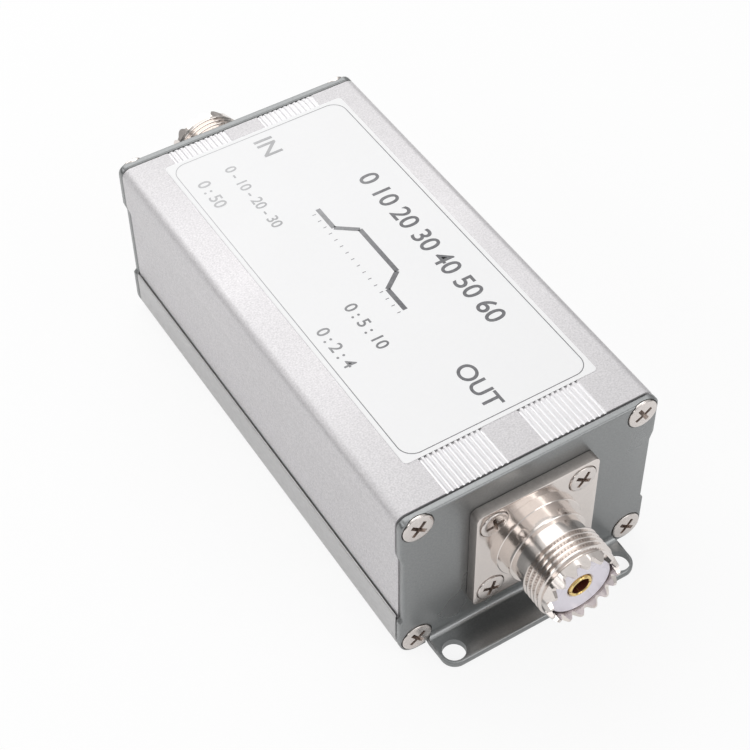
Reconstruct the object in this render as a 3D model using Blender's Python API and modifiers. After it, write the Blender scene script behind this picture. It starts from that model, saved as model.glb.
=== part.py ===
"""RF bandpass filter: a two-part extruded case, folded end plates and a threaded socket at each end."""

import math

import bmesh
import bpy
from mathutils import Matrix, Vector

MM = 0.001

# Clearance between pieces that touch
SEAT_GAP = 0.3 * MM

# Case, two shells extruded along Y that lap at their sides
CASE_LENGTH = 99.4 * MM
CASE_WIDTH = 54.0 * MM
CASE_HEIGHT = 38.5 * MM
SIDE_WALL = 1.5 * MM
TOP_WALL = 1.7 * MM
FLOOR_WALL = 1.6 * MM
TOP_EDGE_RADIUS = 2.0 * MM
BOTTOM_EDGE_RADIUS = 3.5 * MM
SIDE_BAND = 9.4 * MM
SIDE_RECESS = 1.2 * MM
RECESS_SLOPE = 2.0 * MM
LEDGE_RISE = 0.55 * MM
LEDGE_THICKNESS = 0.9 * MM
LAP_DEPTH = 2.4 * MM
LIP_CHAMFER = 0.5 * MM

# Rib bands that run along the top
BAND_INNER = 3.7 * MM
GROOVES = 12
GROOVE_PITCH = 1.1 * MM
GROOVE_WIDTH = 0.55 * MM
GROOVE_FLOOR = 0.25 * MM
GROOVE_DEPTH = 0.4 * MM

# Screws that hold the end plates, and the open channels they bite into
PLATE_SCREW_SIDE_INSET = 4.0 * MM
PLATE_SCREW_TOP_INSET = 2.75 * MM
PLATE_SCREW_BOTTOM_INSET = 3.75 * MM
PLATE_SCREW_RADIUS = 1.3 * MM
PLATE_SCREW_REACH = 9.0 * MM
PLATE_HEAD_RADIUS = 3.0 * MM
PLATE_HEAD_RIM = 0.2 * MM
HEAD_DOME = 0.4 * MM
HEAD_SHOULDER = 0.6
HEAD_CROWN = 0.8
CHANNEL_WALL = 0.9 * MM
CHANNEL_SLOT = 1.4 * MM

# Label on the top
LABEL_WIDTH = 39.8 * MM
LABEL_LENGTH = 88.2 * MM
LABEL_THICKNESS = 0.15 * MM
LABEL_RADIUS = 0.8 * MM
LABEL_SHIFT_X = 0.95 * MM
LABEL_SHIFT_Y = 3.05 * MM

# End plates, folded out into a mounting foot
PLATE_THICKNESS = 1.5 * MM
PLATE_EDGE = 0.35 * MM
FOLD_RADIUS = 1.2 * MM
FOOT_SIDE_INSET = 6.2 * MM
FOOT_REACH = 7.5 * MM
FOOT_CORNER_RADIUS = 2.8 * MM
FOOT_HOLE_RADIUS = 2.2 * MM
FOOT_HOLE_INSET = 2.7 * MM
FOOT_HOLE_OUT = 4.7 * MM

# Sockets
SOCKET_RISE = 0.65 * MM
FLANGE_SIZE = 25.4 * MM
FLANGE_THICKNESS = 2.0 * MM
FLANGE_CORNER_RADIUS = 1.3 * MM
FLANGE_SCREW_SPACING = 18.3 * MM
COLLAR_RADIUS = 8.9 * MM
COLLAR_LENGTH = 1.1 * MM
SHOULDER_RADIUS = 7.7 * MM
SHOULDER_LENGTH = 2.0 * MM
RING_RADIUS = 8.0 * MM
RING_LENGTH = 0.7 * MM
NECK_RADIUS = 7.3 * MM
NECK_LENGTH = 1.6 * MM
THREAD_RADIUS = 7.94 * MM
THREAD_LENGTH = 6.9 * MM
THREAD_LEAD_IN = 0.6 * MM
RIM_RADIUS = 7.6 * MM
RIM_LENGTH = 1.0 * MM
TEETH = 16
TOOTH_HEIGHT = 1.5 * MM
TOOTH_TAPER = 0.3 * MM
SOCKET_BORE_RADIUS = 6.5 * MM
SOCKET_FLOOR = 0.7 * MM
REAR_BOSS_RADIUS = 5.6 * MM
REAR_BOSS_REACH = 2.5 * MM
REAR_BORE_RADIUS = 4.7 * MM

# Insulators and centre contacts
INSULATOR_RECESS = 0.7 * MM
INSULATOR_DISH = 0.3 * MM
INSULATOR_PROUD = 0.6 * MM
CONTACT_RADIUS = 2.5 * MM
CONTACT_BORE_RADIUS = 2.0 * MM
CONTACT_BORE_DEPTH = 8.0 * MM
CONTACT_TUBE_LENGTH = 10.0 * MM
CONTACT_ROD_RADIUS = 1.5 * MM
CUP_LENGTH = 4.4 * MM
CUP_BORE_DEPTH = 3.0 * MM
CUP_OPENING = 2.0 * MM

# Flange screws, nuts and ground lugs
FLANGE_SCREW_RADIUS = 1.45 * MM
FLANGE_SCREW_TAIL = 0.8 * MM
FLANGE_HEAD_RADIUS = 2.75 * MM
FLANGE_HEAD_RIM = 0.1 * MM
NUT_ACROSS_FLATS = 5.5 * MM
NUT_THICKNESS = 2.3 * MM
LUG_THICKNESS = 0.4 * MM
LUG_RADIUS = 3.1 * MM
LUG_TAIL_WIDTH = 3.0 * MM

# Circuit board, its rails in the upper shell and its parts
BOARD_RISE = 2.5 * MM
BOARD_THICKNESS = 1.6 * MM
BOARD_END_INSET = 5.7 * MM
BOARD_CORNER_RADIUS = 1.0 * MM
RAIL_DEPTH = 1.4 * MM
RAIL_THICKNESS = 0.9 * MM
LEAD_BELOW_BOARD = 1.2 * MM
CORE_HEADROOM = 5.0 * MM
CORE_BORE_SHARE = 0.55
CORE_HEIGHT = 4.8 * MM
CORE_CHAMFER = 0.6 * MM
CORES = 3
CORE_SPREAD = 9.0 * MM
CORE_PITCH = 24.0 * MM
WINDING_TURNS = 8
WINDING_RADIUS = 0.5 * MM
WINDING_GAP_ANGLE = 60.0
CAPACITOR_LENGTH = 8.0 * MM
CAPACITOR_WIDTH = 4.0 * MM
CAPACITOR_HEIGHT = 7.5 * MM
CAPACITOR_STANDOFF = 1.0 * MM
CAPACITOR_LEAD_RADIUS = 0.35 * MM
CAPACITOR_LEAD_SPACING = 5.0 * MM
CAPACITOR_SPREAD = 12.0 * MM
WIRE_RADIUS = 0.5 * MM
WIRE_BEND = 3.0 * MM
WIRE_FROM_BOARD_END = 5.5 * MM
GROUND_WIRE_RADIUS = 0.4 * MM
GROUND_WIRE_FROM_BOARD_END = 1.9 * MM

# Facets around the round pieces
BARREL_FACETS = 2 * TEETH
SCREW_FACETS = 10
CONTACT_FACETS = 14
INSULATOR_FACETS = 16
CORE_FACETS = 12
FOOT_HOLE_FACETS = 14
BOSS_HOLE_FACETS = 20
SMALL_HOLE_FACETS = 8
LEAD_HOLE_FACETS = 6
NUT_SIDES = 6

# Steps around the edges and the fold
EDGE_STEPS = 6
FOLD_STEPS = 4

# Mesh finishing
MERGE_DISTANCE = 0.001 * MM
SMOOTH_ANGLE = 35.0

# Heights and distances that follow from the sizes above
CASE_SIDE = CASE_WIDTH / 2
RECESS_SIDE = CASE_SIDE - SIDE_RECESS
UPPER_INNER_SIDE = RECESS_SIDE - SIDE_WALL
CHANNEL_BORE_RADIUS = PLATE_SCREW_RADIUS + SEAT_GAP
CHANNEL_RADIUS = CHANNEL_BORE_RADIUS + CHANNEL_WALL
PLATE_SCREW_X = CASE_SIDE - PLATE_SCREW_SIDE_INSET
PLATE_SCREW_TOP = CASE_HEIGHT - PLATE_SCREW_TOP_INSET
PLATE_SCREW_BOTTOM = PLATE_SCREW_BOTTOM_INSET
LEDGE_BOTTOM = PLATE_SCREW_BOTTOM + CHANNEL_RADIUS + LEDGE_RISE
LEDGE_TOP = LEDGE_BOTTOM + LEDGE_THICKNESS
UPPER_WALL_END = LEDGE_TOP + SEAT_GAP
SEAM_HEIGHT = UPPER_WALL_END + LAP_DEPTH
RECESS_TOP = CASE_HEIGHT - SIDE_BAND - RECESS_SLOPE
PLATE_BACK = CASE_LENGTH / 2 + SEAT_GAP
PLATE_FACE = PLATE_BACK + PLATE_THICKNESS
CEILING = CASE_HEIGHT - TOP_WALL
FOLD_TOP = PLATE_THICKNESS + FOLD_RADIUS
SOCKET_HEIGHT = (FOLD_TOP + CEILING) / 2 + SOCKET_RISE
FLANGE_FACE = SEAT_GAP + FLANGE_THICKNESS
FLANGE_SCREW_OFFSET = FLANGE_SCREW_SPACING / 2
FLANGE_HOLE_RADIUS = FLANGE_SCREW_RADIUS + SEAT_GAP
FLANGE_HEAD_DEPTH = FLANGE_HEAD_RIM + FLANGE_HEAD_RADIUS - FLANGE_SCREW_RADIUS
RING_END = FLANGE_FACE + COLLAR_LENGTH + SHOULDER_LENGTH + RING_LENGTH
SOCKET_TIP = RING_END + NECK_LENGTH + THREAD_LENGTH + RIM_LENGTH
REAR_BOSS_END = -(PLATE_THICKNESS + REAR_BOSS_REACH)
CONTACT_END = REAR_BOSS_END - INSULATOR_PROUD - CUP_LENGTH
CUP_BORE_RADIUS = WIRE_RADIUS + SEAT_GAP
NUT_FACE = -(PLATE_THICKNESS + SEAT_GAP)
LUG_NUT_FACE = NUT_FACE - LUG_THICKNESS - SEAT_GAP
BOARD_BOTTOM = SEAM_HEIGHT + BOARD_RISE
BOARD_TOP = BOARD_BOTTOM + BOARD_THICKNESS
BOARD_SIDE = UPPER_INNER_SIDE - SEAT_GAP
BOARD_END = CASE_LENGTH / 2 - BOARD_END_INSET
LEAD_END = BOARD_BOTTOM - LEAD_BELOW_BOARD
CORE_OUTER_RADIUS = (CEILING - CORE_HEADROOM - BOARD_TOP - SEAT_GAP) / 2
CORE_INNER_RADIUS = CORE_OUTER_RADIUS * CORE_BORE_SHARE
LUG_TAIL_LENGTH = FLANGE_SCREW_OFFSET

# Colour, metallic and roughness of each material
MATERIALS = {
    "upper_shell": ((0.80, 0.79, 0.80), 0.9, 0.38),
    "lower_shell": ((0.74, 0.74, 0.74), 0.9, 0.40),
    "end_plate": ((0.22, 0.24, 0.24), 0.7, 0.35),
    "label": ((0.93, 0.93, 0.94), 0.0, 0.55),
    "nickel": ((0.82, 0.78, 0.74), 1.0, 0.18),
    "screw": ((0.78, 0.74, 0.71), 1.0, 0.25),
    "insulator": ((0.84, 0.82, 0.88), 0.0, 0.30),
    "contact": ((0.86, 0.67, 0.33), 1.0, 0.22),
    "zinc": ((0.66, 0.67, 0.69), 1.0, 0.35),
    "board": ((0.05, 0.22, 0.12), 0.0, 0.45),
    "core": ((0.55, 0.10, 0.08), 0.0, 0.55),
    "winding": ((0.62, 0.28, 0.12), 0.9, 0.30),
    "capacitor": ((0.10, 0.25, 0.50), 0.0, 0.40),
    "wire": ((0.75, 0.76, 0.78), 0.9, 0.30),
}


def plane(right, up):
    """Matrix that lays a flat outline's own X and Y along two axes of the part."""
    right_axis = Vector(right)
    up_axis = Vector(up)
    return Matrix((right_axis, up_axis, right_axis.cross(up_axis))).transposed().to_4x4()


ACROSS = plane((1, 0, 0), (0, 0, 1))
ALONG = plane((0, -1, 0), (0, 0, 1))
FLAT = plane((1, 0, 0), (0, 1, 0))
OUTWARD = (math.pi / 2, 0, 0)


def arc(x, y, radius, start, end, steps):
    """Points along an arc, with its angles in degrees."""
    points = []
    for i in range(steps + 1):
        angle = math.radians(start + (end - start) * i / steps)
        points.append((x + radius * math.cos(angle), y + radius * math.sin(angle)))
    return points


def circle(x, y, radius, steps):
    """Points around a circle."""
    return arc(x, y, radius, 0, 360, steps)[:-1]


def rounded_rectangle(x, y, width, length, radius, steps=4):
    """Points around a rectangle with round corners, about its centre."""
    right = width / 2 - radius
    far = length / 2 - radius
    points = arc(x + right, y + far, radius, 0, 90, steps)
    points += arc(x - right, y + far, radius, 90, 180, steps)
    points += arc(x - right, y - far, radius, 180, 270, steps)
    points += arc(x + right, y - far, radius, 270, 360, steps)
    return points


def mirrored(half):
    """Whole outline from its right half, whose ends lie on the centre line."""
    left = [(-x, y) for x, y in reversed(half) if x > 0]
    return half + left


def add_to(collection, name, data):
    """New object with its data, linked to a collection."""
    obj = bpy.data.objects.new(name, data)
    collection.objects.link(obj)
    return obj


def frozen(obj, name):
    """Mesh of an object with its modifiers applied, welded and with its faces outwards."""
    bpy.context.view_layer.update()
    evaluated = obj.evaluated_get(bpy.context.evaluated_depsgraph_get())
    mesh = bpy.data.meshes.new_from_object(evaluated)
    mesh.name = name
    bpy.data.objects.remove(obj)
    shape = bmesh.new()
    shape.from_mesh(mesh)
    bmesh.ops.remove_doubles(shape, verts=shape.verts, dist=MERGE_DISTANCE)
    bmesh.ops.recalc_face_normals(shape, faces=shape.faces)
    shape.to_mesh(mesh)
    shape.free()
    return mesh


def extruded(name, outlines, thickness, turn=FLAT, place=(0, 0, 0), edge=0.0):
    """Mesh of a flat outline with a thickness, its later outlines being holes."""
    curve = bpy.data.curves.new(name, "CURVE")
    curve.dimensions = "2D"
    curve.fill_mode = "BOTH"
    curve.extrude = thickness / 2 - edge
    curve.bevel_depth = edge
    curve.bevel_resolution = 0
    curve.offset = -edge
    for outline in outlines:
        spline = curve.splines.new("POLY")
        spline.points.add(len(outline) - 1)
        spline.use_cyclic_u = True
        for point, (x, y) in zip(spline.points, outline):
            point.co = (x, y, 0, 1)
    mesh = frozen(add_to(bench, name, curve), name)
    mesh.transform(Matrix.Translation(place) @ turn)
    return mesh


def turned(name, profile, facets, closed=False):
    """Mesh of a profile of radii and heights turned about Z."""
    mesh = bpy.data.meshes.new(name)
    edges = [(i, i + 1) for i in range(len(profile) - 1)]
    if closed:
        edges.append((len(profile) - 1, 0))
    mesh.from_pydata([(radius, 0, height) for radius, height in profile], edges, [])
    obj = add_to(bench, name, mesh)
    screw = obj.modifiers.new("Turn", "SCREW")
    screw.steps = facets
    screw.render_steps = facets
    screw.use_merge_vertices = True
    screw.merge_threshold = MERGE_DISTANCE
    return frozen(obj, name)


def combined(name, mesh, other, operation):
    """Mesh that a Boolean makes of two closed meshes."""
    obj = add_to(bench, name, mesh)
    tool = add_to(bench, name + "_tool", other)
    boolean = obj.modifiers.new(operation.title(), "BOOLEAN")
    boolean.operation = operation
    boolean.solver = "EXACT"
    boolean.object = tool
    result = frozen(obj, name)
    bpy.data.objects.remove(tool)
    return result


def rods(radius, places, length, facets, turn=Matrix()):
    """Mesh of equal rods, centred on their places."""
    shape = bmesh.new()
    for place in places:
        matrix = Matrix.Translation(place) @ turn
        bmesh.ops.create_cone(shape, cap_ends=True, segments=facets, radius1=radius, radius2=radius,
                              depth=length, matrix=matrix)
    mesh = bpy.data.meshes.new("rods")
    shape.to_mesh(mesh)
    shape.free()
    return mesh


def repeated(mesh, places, turn):
    """Mesh of one shape turned and repeated at several places."""
    shape = bmesh.new()
    for place in places:
        copy = mesh.copy()
        copy.transform(Matrix.Translation(place) @ turn)
        shape.from_mesh(copy)
        bpy.data.meshes.remove(copy)
    result = bpy.data.meshes.new("repeated")
    shape.to_mesh(result)
    shape.free()
    return result


def block(name, low, high):
    """Mesh of a box between two corners."""
    size = Vector(high) - Vector(low)
    centre = (Vector(high) + Vector(low)) / 2
    shape = bmesh.new()
    bmesh.ops.create_cube(shape, size=1.0, matrix=Matrix.Translation(centre) @ Matrix.Diagonal(size).to_4x4())
    mesh = bpy.data.meshes.new(name)
    shape.to_mesh(mesh)
    shape.free()
    return mesh


def piece(name, data, material, parent=None, location=(0, 0, 0), rotation=(0, 0, 0)):
    """Finished piece of the filter, with its material, place and parent."""
    if isinstance(data, bpy.types.Mesh):
        data.shade_smooth()
        data.set_sharp_from_angle(angle=math.radians(SMOOTH_ANGLE))
    if not data.materials:
        data.materials.append(bpy.data.materials[material])
    obj = add_to(parts, name, data)
    obj.parent = parent
    obj.location = location
    obj.rotation_euler = rotation
    return obj


def make_materials():
    """Principled materials of all the pieces."""
    for name, (colour, metallic, roughness) in MATERIALS.items():
        material = bpy.data.materials.new(name)
        material.use_nodes = True
        shader = material.node_tree.nodes["Principled BSDF"]
        shader.inputs["Base Color"].default_value = (*colour, 1)
        shader.inputs["Metallic"].default_value = metallic
        shader.inputs["Roughness"].default_value = roughness
        material.diffuse_color = (*colour, 1)


def screw_channel(z, up):
    """Outline of an open screw channel, from its side wall face to its face towards the middle."""
    half_slot = CHANNEL_SLOT / 2
    outer_angle = math.degrees(math.asin(half_slot / CHANNEL_RADIUS))
    bore_angle = math.degrees(math.asin(half_slot / CHANNEL_BORE_RADIUS))
    path = arc(0, 0, CHANNEL_RADIUS, 270, 225 + outer_angle, 2)
    path += arc(0, 0, CHANNEL_BORE_RADIUS, 225 + bore_angle, 585 - bore_angle, 9)
    path += arc(0, 0, CHANNEL_RADIUS, 225 - outer_angle, 180, 2)
    return [(PLATE_SCREW_X + x, z + up * y) for x, y in path]


def rib_grooves():
    """Outline of the grooves in the right half of the top."""
    slope = (GROOVE_WIDTH - GROOVE_FLOOR) / 2
    points = []
    for i in range(GROOVES):
        left = BAND_INNER + i * GROOVE_PITCH
        right = left + GROOVE_WIDTH
        floor = CASE_HEIGHT - GROOVE_DEPTH
        points += [(left, CASE_HEIGHT), (left + slope, floor), (right - slope, floor), (right, CASE_HEIGHT)]
    return points


def board_rails():
    """Outline of the two rails on the inside of the upper shell that hold the board's edge."""
    slot_bottom = BOARD_BOTTOM - SEAT_GAP
    slot_top = BOARD_TOP + SEAT_GAP
    rail_side = UPPER_INNER_SIDE - RAIL_DEPTH
    wall = UPPER_INNER_SIDE
    points = []
    for bottom, top in ((slot_bottom - RAIL_THICKNESS, slot_bottom), (slot_top, slot_top + RAIL_THICKNESS)):
        points += [(wall, bottom), (rail_side, bottom), (rail_side, top), (wall, top)]
    return points


def upper_shell_outline():
    """Section of the upper shell: ribbed top, full-width band, recessed sides and two channels."""
    inner_band = CASE_SIDE - SIDE_WALL
    half = [(0, CASE_HEIGHT)] + rib_grooves()
    half += arc(CASE_SIDE - TOP_EDGE_RADIUS, CASE_HEIGHT - TOP_EDGE_RADIUS, TOP_EDGE_RADIUS, 90, 0, EDGE_STEPS)
    half += [(CASE_SIDE, RECESS_TOP + RECESS_SLOPE), (RECESS_SIDE, RECESS_TOP)]
    half += [(RECESS_SIDE, UPPER_WALL_END), (UPPER_INNER_SIDE, UPPER_WALL_END)]
    half += board_rails()
    half += [(UPPER_INNER_SIDE, RECESS_TOP), (inner_band, RECESS_TOP + RECESS_SLOPE)]
    half += [(inner_band, PLATE_SCREW_TOP - CHANNEL_RADIUS)]
    half += screw_channel(PLATE_SCREW_TOP, 1)
    half += [(PLATE_SCREW_X - CHANNEL_RADIUS, CEILING), (0, CEILING)]
    return mirrored(half)


def lower_shell_outline():
    """Section of the lower shell: a tray whose lips stand outside the upper shell's walls."""
    inner_side = CASE_SIDE - SIDE_WALL
    lip_side = RECESS_SIDE + SEAT_GAP
    half = [(0, 0)]
    half += arc(CASE_SIDE - BOTTOM_EDGE_RADIUS, BOTTOM_EDGE_RADIUS, BOTTOM_EDGE_RADIUS, 270, 360, EDGE_STEPS)
    half += [(CASE_SIDE, SEAM_HEIGHT - LIP_CHAMFER), (CASE_SIDE - LIP_CHAMFER, SEAM_HEIGHT)]
    half += [(lip_side, SEAM_HEIGHT), (lip_side, LEDGE_TOP)]
    half += [(UPPER_INNER_SIDE, LEDGE_TOP), (UPPER_INNER_SIDE, LEDGE_BOTTOM), (inner_side, LEDGE_BOTTOM)]
    half += [(inner_side, PLATE_SCREW_BOTTOM + CHANNEL_RADIUS)]
    half += screw_channel(PLATE_SCREW_BOTTOM, -1)
    half += [(PLATE_SCREW_X - CHANNEL_RADIUS, FLOOR_WALL), (0, FLOOR_WALL)]
    return mirrored(half)


def make_case():
    """Both shells and the label."""
    upper = extruded("upper_shell", [upper_shell_outline()], CASE_LENGTH, ACROSS)
    piece("upper_shell", upper, "upper_shell")
    lower = extruded("lower_shell", [lower_shell_outline()], CASE_LENGTH, ACROSS)
    piece("lower_shell", lower, "lower_shell")
    outline = rounded_rectangle(0, 0, LABEL_WIDTH, LABEL_LENGTH, LABEL_RADIUS, 2)
    label = extruded("label", [outline], LABEL_THICKNESS)
    height = CASE_HEIGHT + SEAT_GAP + LABEL_THICKNESS / 2
    piece("label", label, "label", location=(LABEL_SHIFT_X, LABEL_SHIFT_Y, height))


def plate_outline():
    """Outline of an end plate, which follows the case, open below for the fold."""
    foot_side = CASE_SIDE - FOOT_SIDE_INSET
    half = [(0, CASE_HEIGHT)]
    half += arc(CASE_SIDE - TOP_EDGE_RADIUS, CASE_HEIGHT - TOP_EDGE_RADIUS, TOP_EDGE_RADIUS, 90, 0, EDGE_STEPS)
    half += [(CASE_SIDE, RECESS_TOP + RECESS_SLOPE), (RECESS_SIDE, RECESS_TOP)]
    half += [(RECESS_SIDE, SEAM_HEIGHT), (CASE_SIDE, SEAM_HEIGHT - SIDE_RECESS)]
    half += arc(CASE_SIDE - BOTTOM_EDGE_RADIUS, BOTTOM_EDGE_RADIUS, BOTTOM_EDGE_RADIUS, 0, -90, EDGE_STEPS)
    half += [(foot_side, 0), (foot_side, FOLD_TOP), (0, FOLD_TOP)]
    return mirrored(half)


def fold_profile(overlap):
    """Side view of the fold and foot, from the plate's back outwards and from the floor up."""
    reach = PLATE_THICKNESS + FOOT_REACH + overlap
    points = [(0, FOLD_TOP + overlap), (PLATE_THICKNESS, FOLD_TOP + overlap)]
    points += arc(FOLD_TOP, FOLD_TOP, FOLD_RADIUS, 180, 270, FOLD_STEPS)
    points += [(reach, PLATE_THICKNESS), (reach, 0)]
    points += arc(FOLD_TOP, FOLD_TOP, FOLD_TOP, 270, 180, FOLD_STEPS)
    return points


def foot_plan(overlap):
    """Outline of the foot seen from above, with its two round corners."""
    side = CASE_SIDE - FOOT_SIDE_INSET
    corner = side - FOOT_CORNER_RADIUS
    front = -(PLATE_FACE + FOOT_REACH)
    half = [(0, -PLATE_BACK + overlap), (side, -PLATE_BACK + overlap)]
    half += arc(corner, front + FOOT_CORNER_RADIUS, FOOT_CORNER_RADIUS, 0, -90, EDGE_STEPS)
    half += [(0, front)]
    return mirrored(half)


def countersink_mesh(head, rim, depth, bore):
    """Cutter for a countersunk hole round a screw's head, its zero height on the outer face."""
    slope = (head + SEAT_GAP - bore) / (depth - rim)
    bottom = depth + SEAT_GAP / 2
    wide = bore + slope * (bottom + rim)
    profile = [(0, rim), (wide, rim), (bore, -bottom), (bore, -3 * depth), (0, -3 * depth)]
    return turned("countersink", profile, SCREW_FACETS)


def end_plate_mesh():
    """End plate with its folded foot, countersunk corners, socket holes and two foot holes."""
    overlap = PLATE_THICKNESS
    middle = -(PLATE_BACK + PLATE_FACE) / 2
    mesh = extruded("end_plate", [plate_outline()], PLATE_THICKNESS, ACROSS, (0, middle, 0), PLATE_EDGE)
    strip = extruded("fold", [fold_profile(overlap)], CASE_WIDTH, ALONG, (0, -PLATE_BACK, 0))
    plan = extruded("foot_plan", [foot_plan(overlap)], CASE_HEIGHT, FLAT)
    mesh = combined("end_plate", mesh, combined("fold", strip, plan, "INTERSECT"), "UNION")
    through = Matrix.Rotation(math.pi / 2, 4, "X")
    length = 3 * PLATE_THICKNESS
    offset = FLANGE_SCREW_OFFSET
    flange_holes = [(x * offset, middle, SOCKET_HEIGHT + z * offset) for x in (-1, 1) for z in (-1, 1)]
    for radius, places, facets in (
            (REAR_BOSS_RADIUS + SEAT_GAP, [(0, middle, SOCKET_HEIGHT)], BOSS_HOLE_FACETS),
            (FLANGE_HOLE_RADIUS, flange_holes, SMALL_HOLE_FACETS)):
        mesh = combined("end_plate", mesh, rods(radius, places, length, facets, through), "DIFFERENCE")
    heights = (PLATE_SCREW_BOTTOM, PLATE_SCREW_TOP)
    corners = [(x * PLATE_SCREW_X, -PLATE_FACE, z) for x in (-1, 1) for z in heights]
    tool = countersink_mesh(PLATE_HEAD_RADIUS, PLATE_HEAD_RIM, PLATE_THICKNESS, CHANNEL_BORE_RADIUS)
    mesh = combined("end_plate", mesh, repeated(tool, corners, through), "DIFFERENCE")
    hole_x = CASE_SIDE - FOOT_SIDE_INSET - FOOT_HOLE_INSET
    foot_holes = [(x * hole_x, -(PLATE_FACE + FOOT_HOLE_OUT), 0) for x in (-1, 1)]
    foot_tool = rods(FOOT_HOLE_RADIUS, foot_holes, length, FOOT_HOLE_FACETS)
    return combined("end_plate", mesh, foot_tool, "DIFFERENCE")


def screw_mesh(name, head, rim, depth, shank, tip):
    """Countersunk screw with a low dome, its zero height on the outer face that it sits in."""
    profile = [(0, HEAD_DOME), (head * HEAD_SHOULDER, HEAD_DOME * HEAD_CROWN)]
    profile += [(head, 0), (head, -rim), (shank, -depth), (shank, -tip), (0, -tip)]
    return turned(name, profile, SCREW_FACETS)


def flange_screw_mesh(grip):
    """Machine screw of a flange, long enough for what it grips and its nut."""
    tip = FLANGE_FACE + PLATE_THICKNESS + grip + NUT_THICKNESS + FLANGE_SCREW_TAIL
    return screw_mesh("flange_screw", FLANGE_HEAD_RADIUS, FLANGE_HEAD_RIM, FLANGE_HEAD_DEPTH,
                      FLANGE_SCREW_RADIUS, tip)


def socket_profile():
    """Closed profile of the socket's barrel, down its outside and back up its bore."""
    collar = FLANGE_FACE + COLLAR_LENGTH
    ring = collar + SHOULDER_LENGTH
    thread = RING_END + NECK_LENGTH
    rim = thread + THREAD_LENGTH
    bore_floor = FLANGE_FACE + SOCKET_FLOOR
    inside_flange = SEAT_GAP + FLANGE_THICKNESS / 2
    return [
        (SOCKET_BORE_RADIUS, SOCKET_TIP), (RIM_RADIUS, SOCKET_TIP), (RIM_RADIUS, rim),
        (THREAD_RADIUS, rim - THREAD_LEAD_IN), (THREAD_RADIUS, thread + THREAD_LEAD_IN),
        (NECK_RADIUS, thread), (NECK_RADIUS, RING_END), (RING_RADIUS, RING_END), (RING_RADIUS, ring),
        (SHOULDER_RADIUS, ring), (SHOULDER_RADIUS, collar), (COLLAR_RADIUS, collar),
        (COLLAR_RADIUS, inside_flange), (REAR_BOSS_RADIUS, inside_flange), (REAR_BOSS_RADIUS, REAR_BOSS_END),
        (REAR_BORE_RADIUS, REAR_BOSS_END), (REAR_BORE_RADIUS, bore_floor), (SOCKET_BORE_RADIUS, bore_floor),
    ]


def socket_body_mesh():
    """Socket body in one piece: square flange, barrel with a crown of teeth, and rear boss."""
    barrel = turned("socket_body", socket_profile(), BARREL_FACETS, closed=True)
    for vertex in barrel.vertices:
        if vertex.co.z > SOCKET_TIP - MERGE_DISTANCE:
            step = round(math.atan2(vertex.co.y, vertex.co.x) / (2 * math.pi) * BARREL_FACETS)
            if step % 2:
                continue
            radius = math.hypot(vertex.co.x, vertex.co.y)
            if radius > (SOCKET_BORE_RADIUS + RIM_RADIUS) / 2:
                vertex.co.x *= 1 - TOOTH_TAPER / radius
                vertex.co.y *= 1 - TOOTH_TAPER / radius
            vertex.co.z += TOOTH_HEIGHT
    offset = FLANGE_SCREW_OFFSET
    outlines = [rounded_rectangle(0, 0, FLANGE_SIZE, FLANGE_SIZE, FLANGE_CORNER_RADIUS, 2)]
    outlines.append(circle(0, 0, (REAR_BORE_RADIUS + REAR_BOSS_RADIUS) / 2, BARREL_FACETS))
    flange = extruded("flange", outlines, FLANGE_THICKNESS, FLAT, (0, 0, SEAT_GAP + FLANGE_THICKNESS / 2))
    body = combined("socket_body", flange, barrel, "UNION")
    corners = [(x * offset, y * offset, FLANGE_FACE) for x in (-1, 1) for y in (-1, 1)]
    tool = countersink_mesh(FLANGE_HEAD_RADIUS, FLANGE_HEAD_RIM, FLANGE_HEAD_DEPTH, FLANGE_HOLE_RADIUS)
    return combined("socket_body", body, repeated(tool, corners, Matrix()), "DIFFERENCE")


def insulator_mesh():
    """Stepped insulator that fills the barrel, with a dished face and a bore for the contact."""
    face = SOCKET_TIP - INSULATOR_RECESS
    outer = SOCKET_BORE_RADIUS - SEAT_GAP
    rear = REAR_BORE_RADIUS - SEAT_GAP
    shelf = FLANGE_FACE + SOCKET_FLOOR + SEAT_GAP
    bore = CONTACT_RADIUS + SEAT_GAP
    rod_bore = CONTACT_ROD_RADIUS + SEAT_GAP
    step = SOCKET_TIP - CONTACT_TUBE_LENGTH - SEAT_GAP
    profile = [(bore, face - INSULATOR_DISH), (outer, face), (outer, shelf), (rear, shelf)]
    profile += [(rear, REAR_BOSS_END - INSULATOR_PROUD), (rod_bore, REAR_BOSS_END - INSULATOR_PROUD)]
    profile += [(rod_bore, step), (bore, step)]
    return turned("insulator", profile, INSULATOR_FACETS, closed=True)


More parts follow.
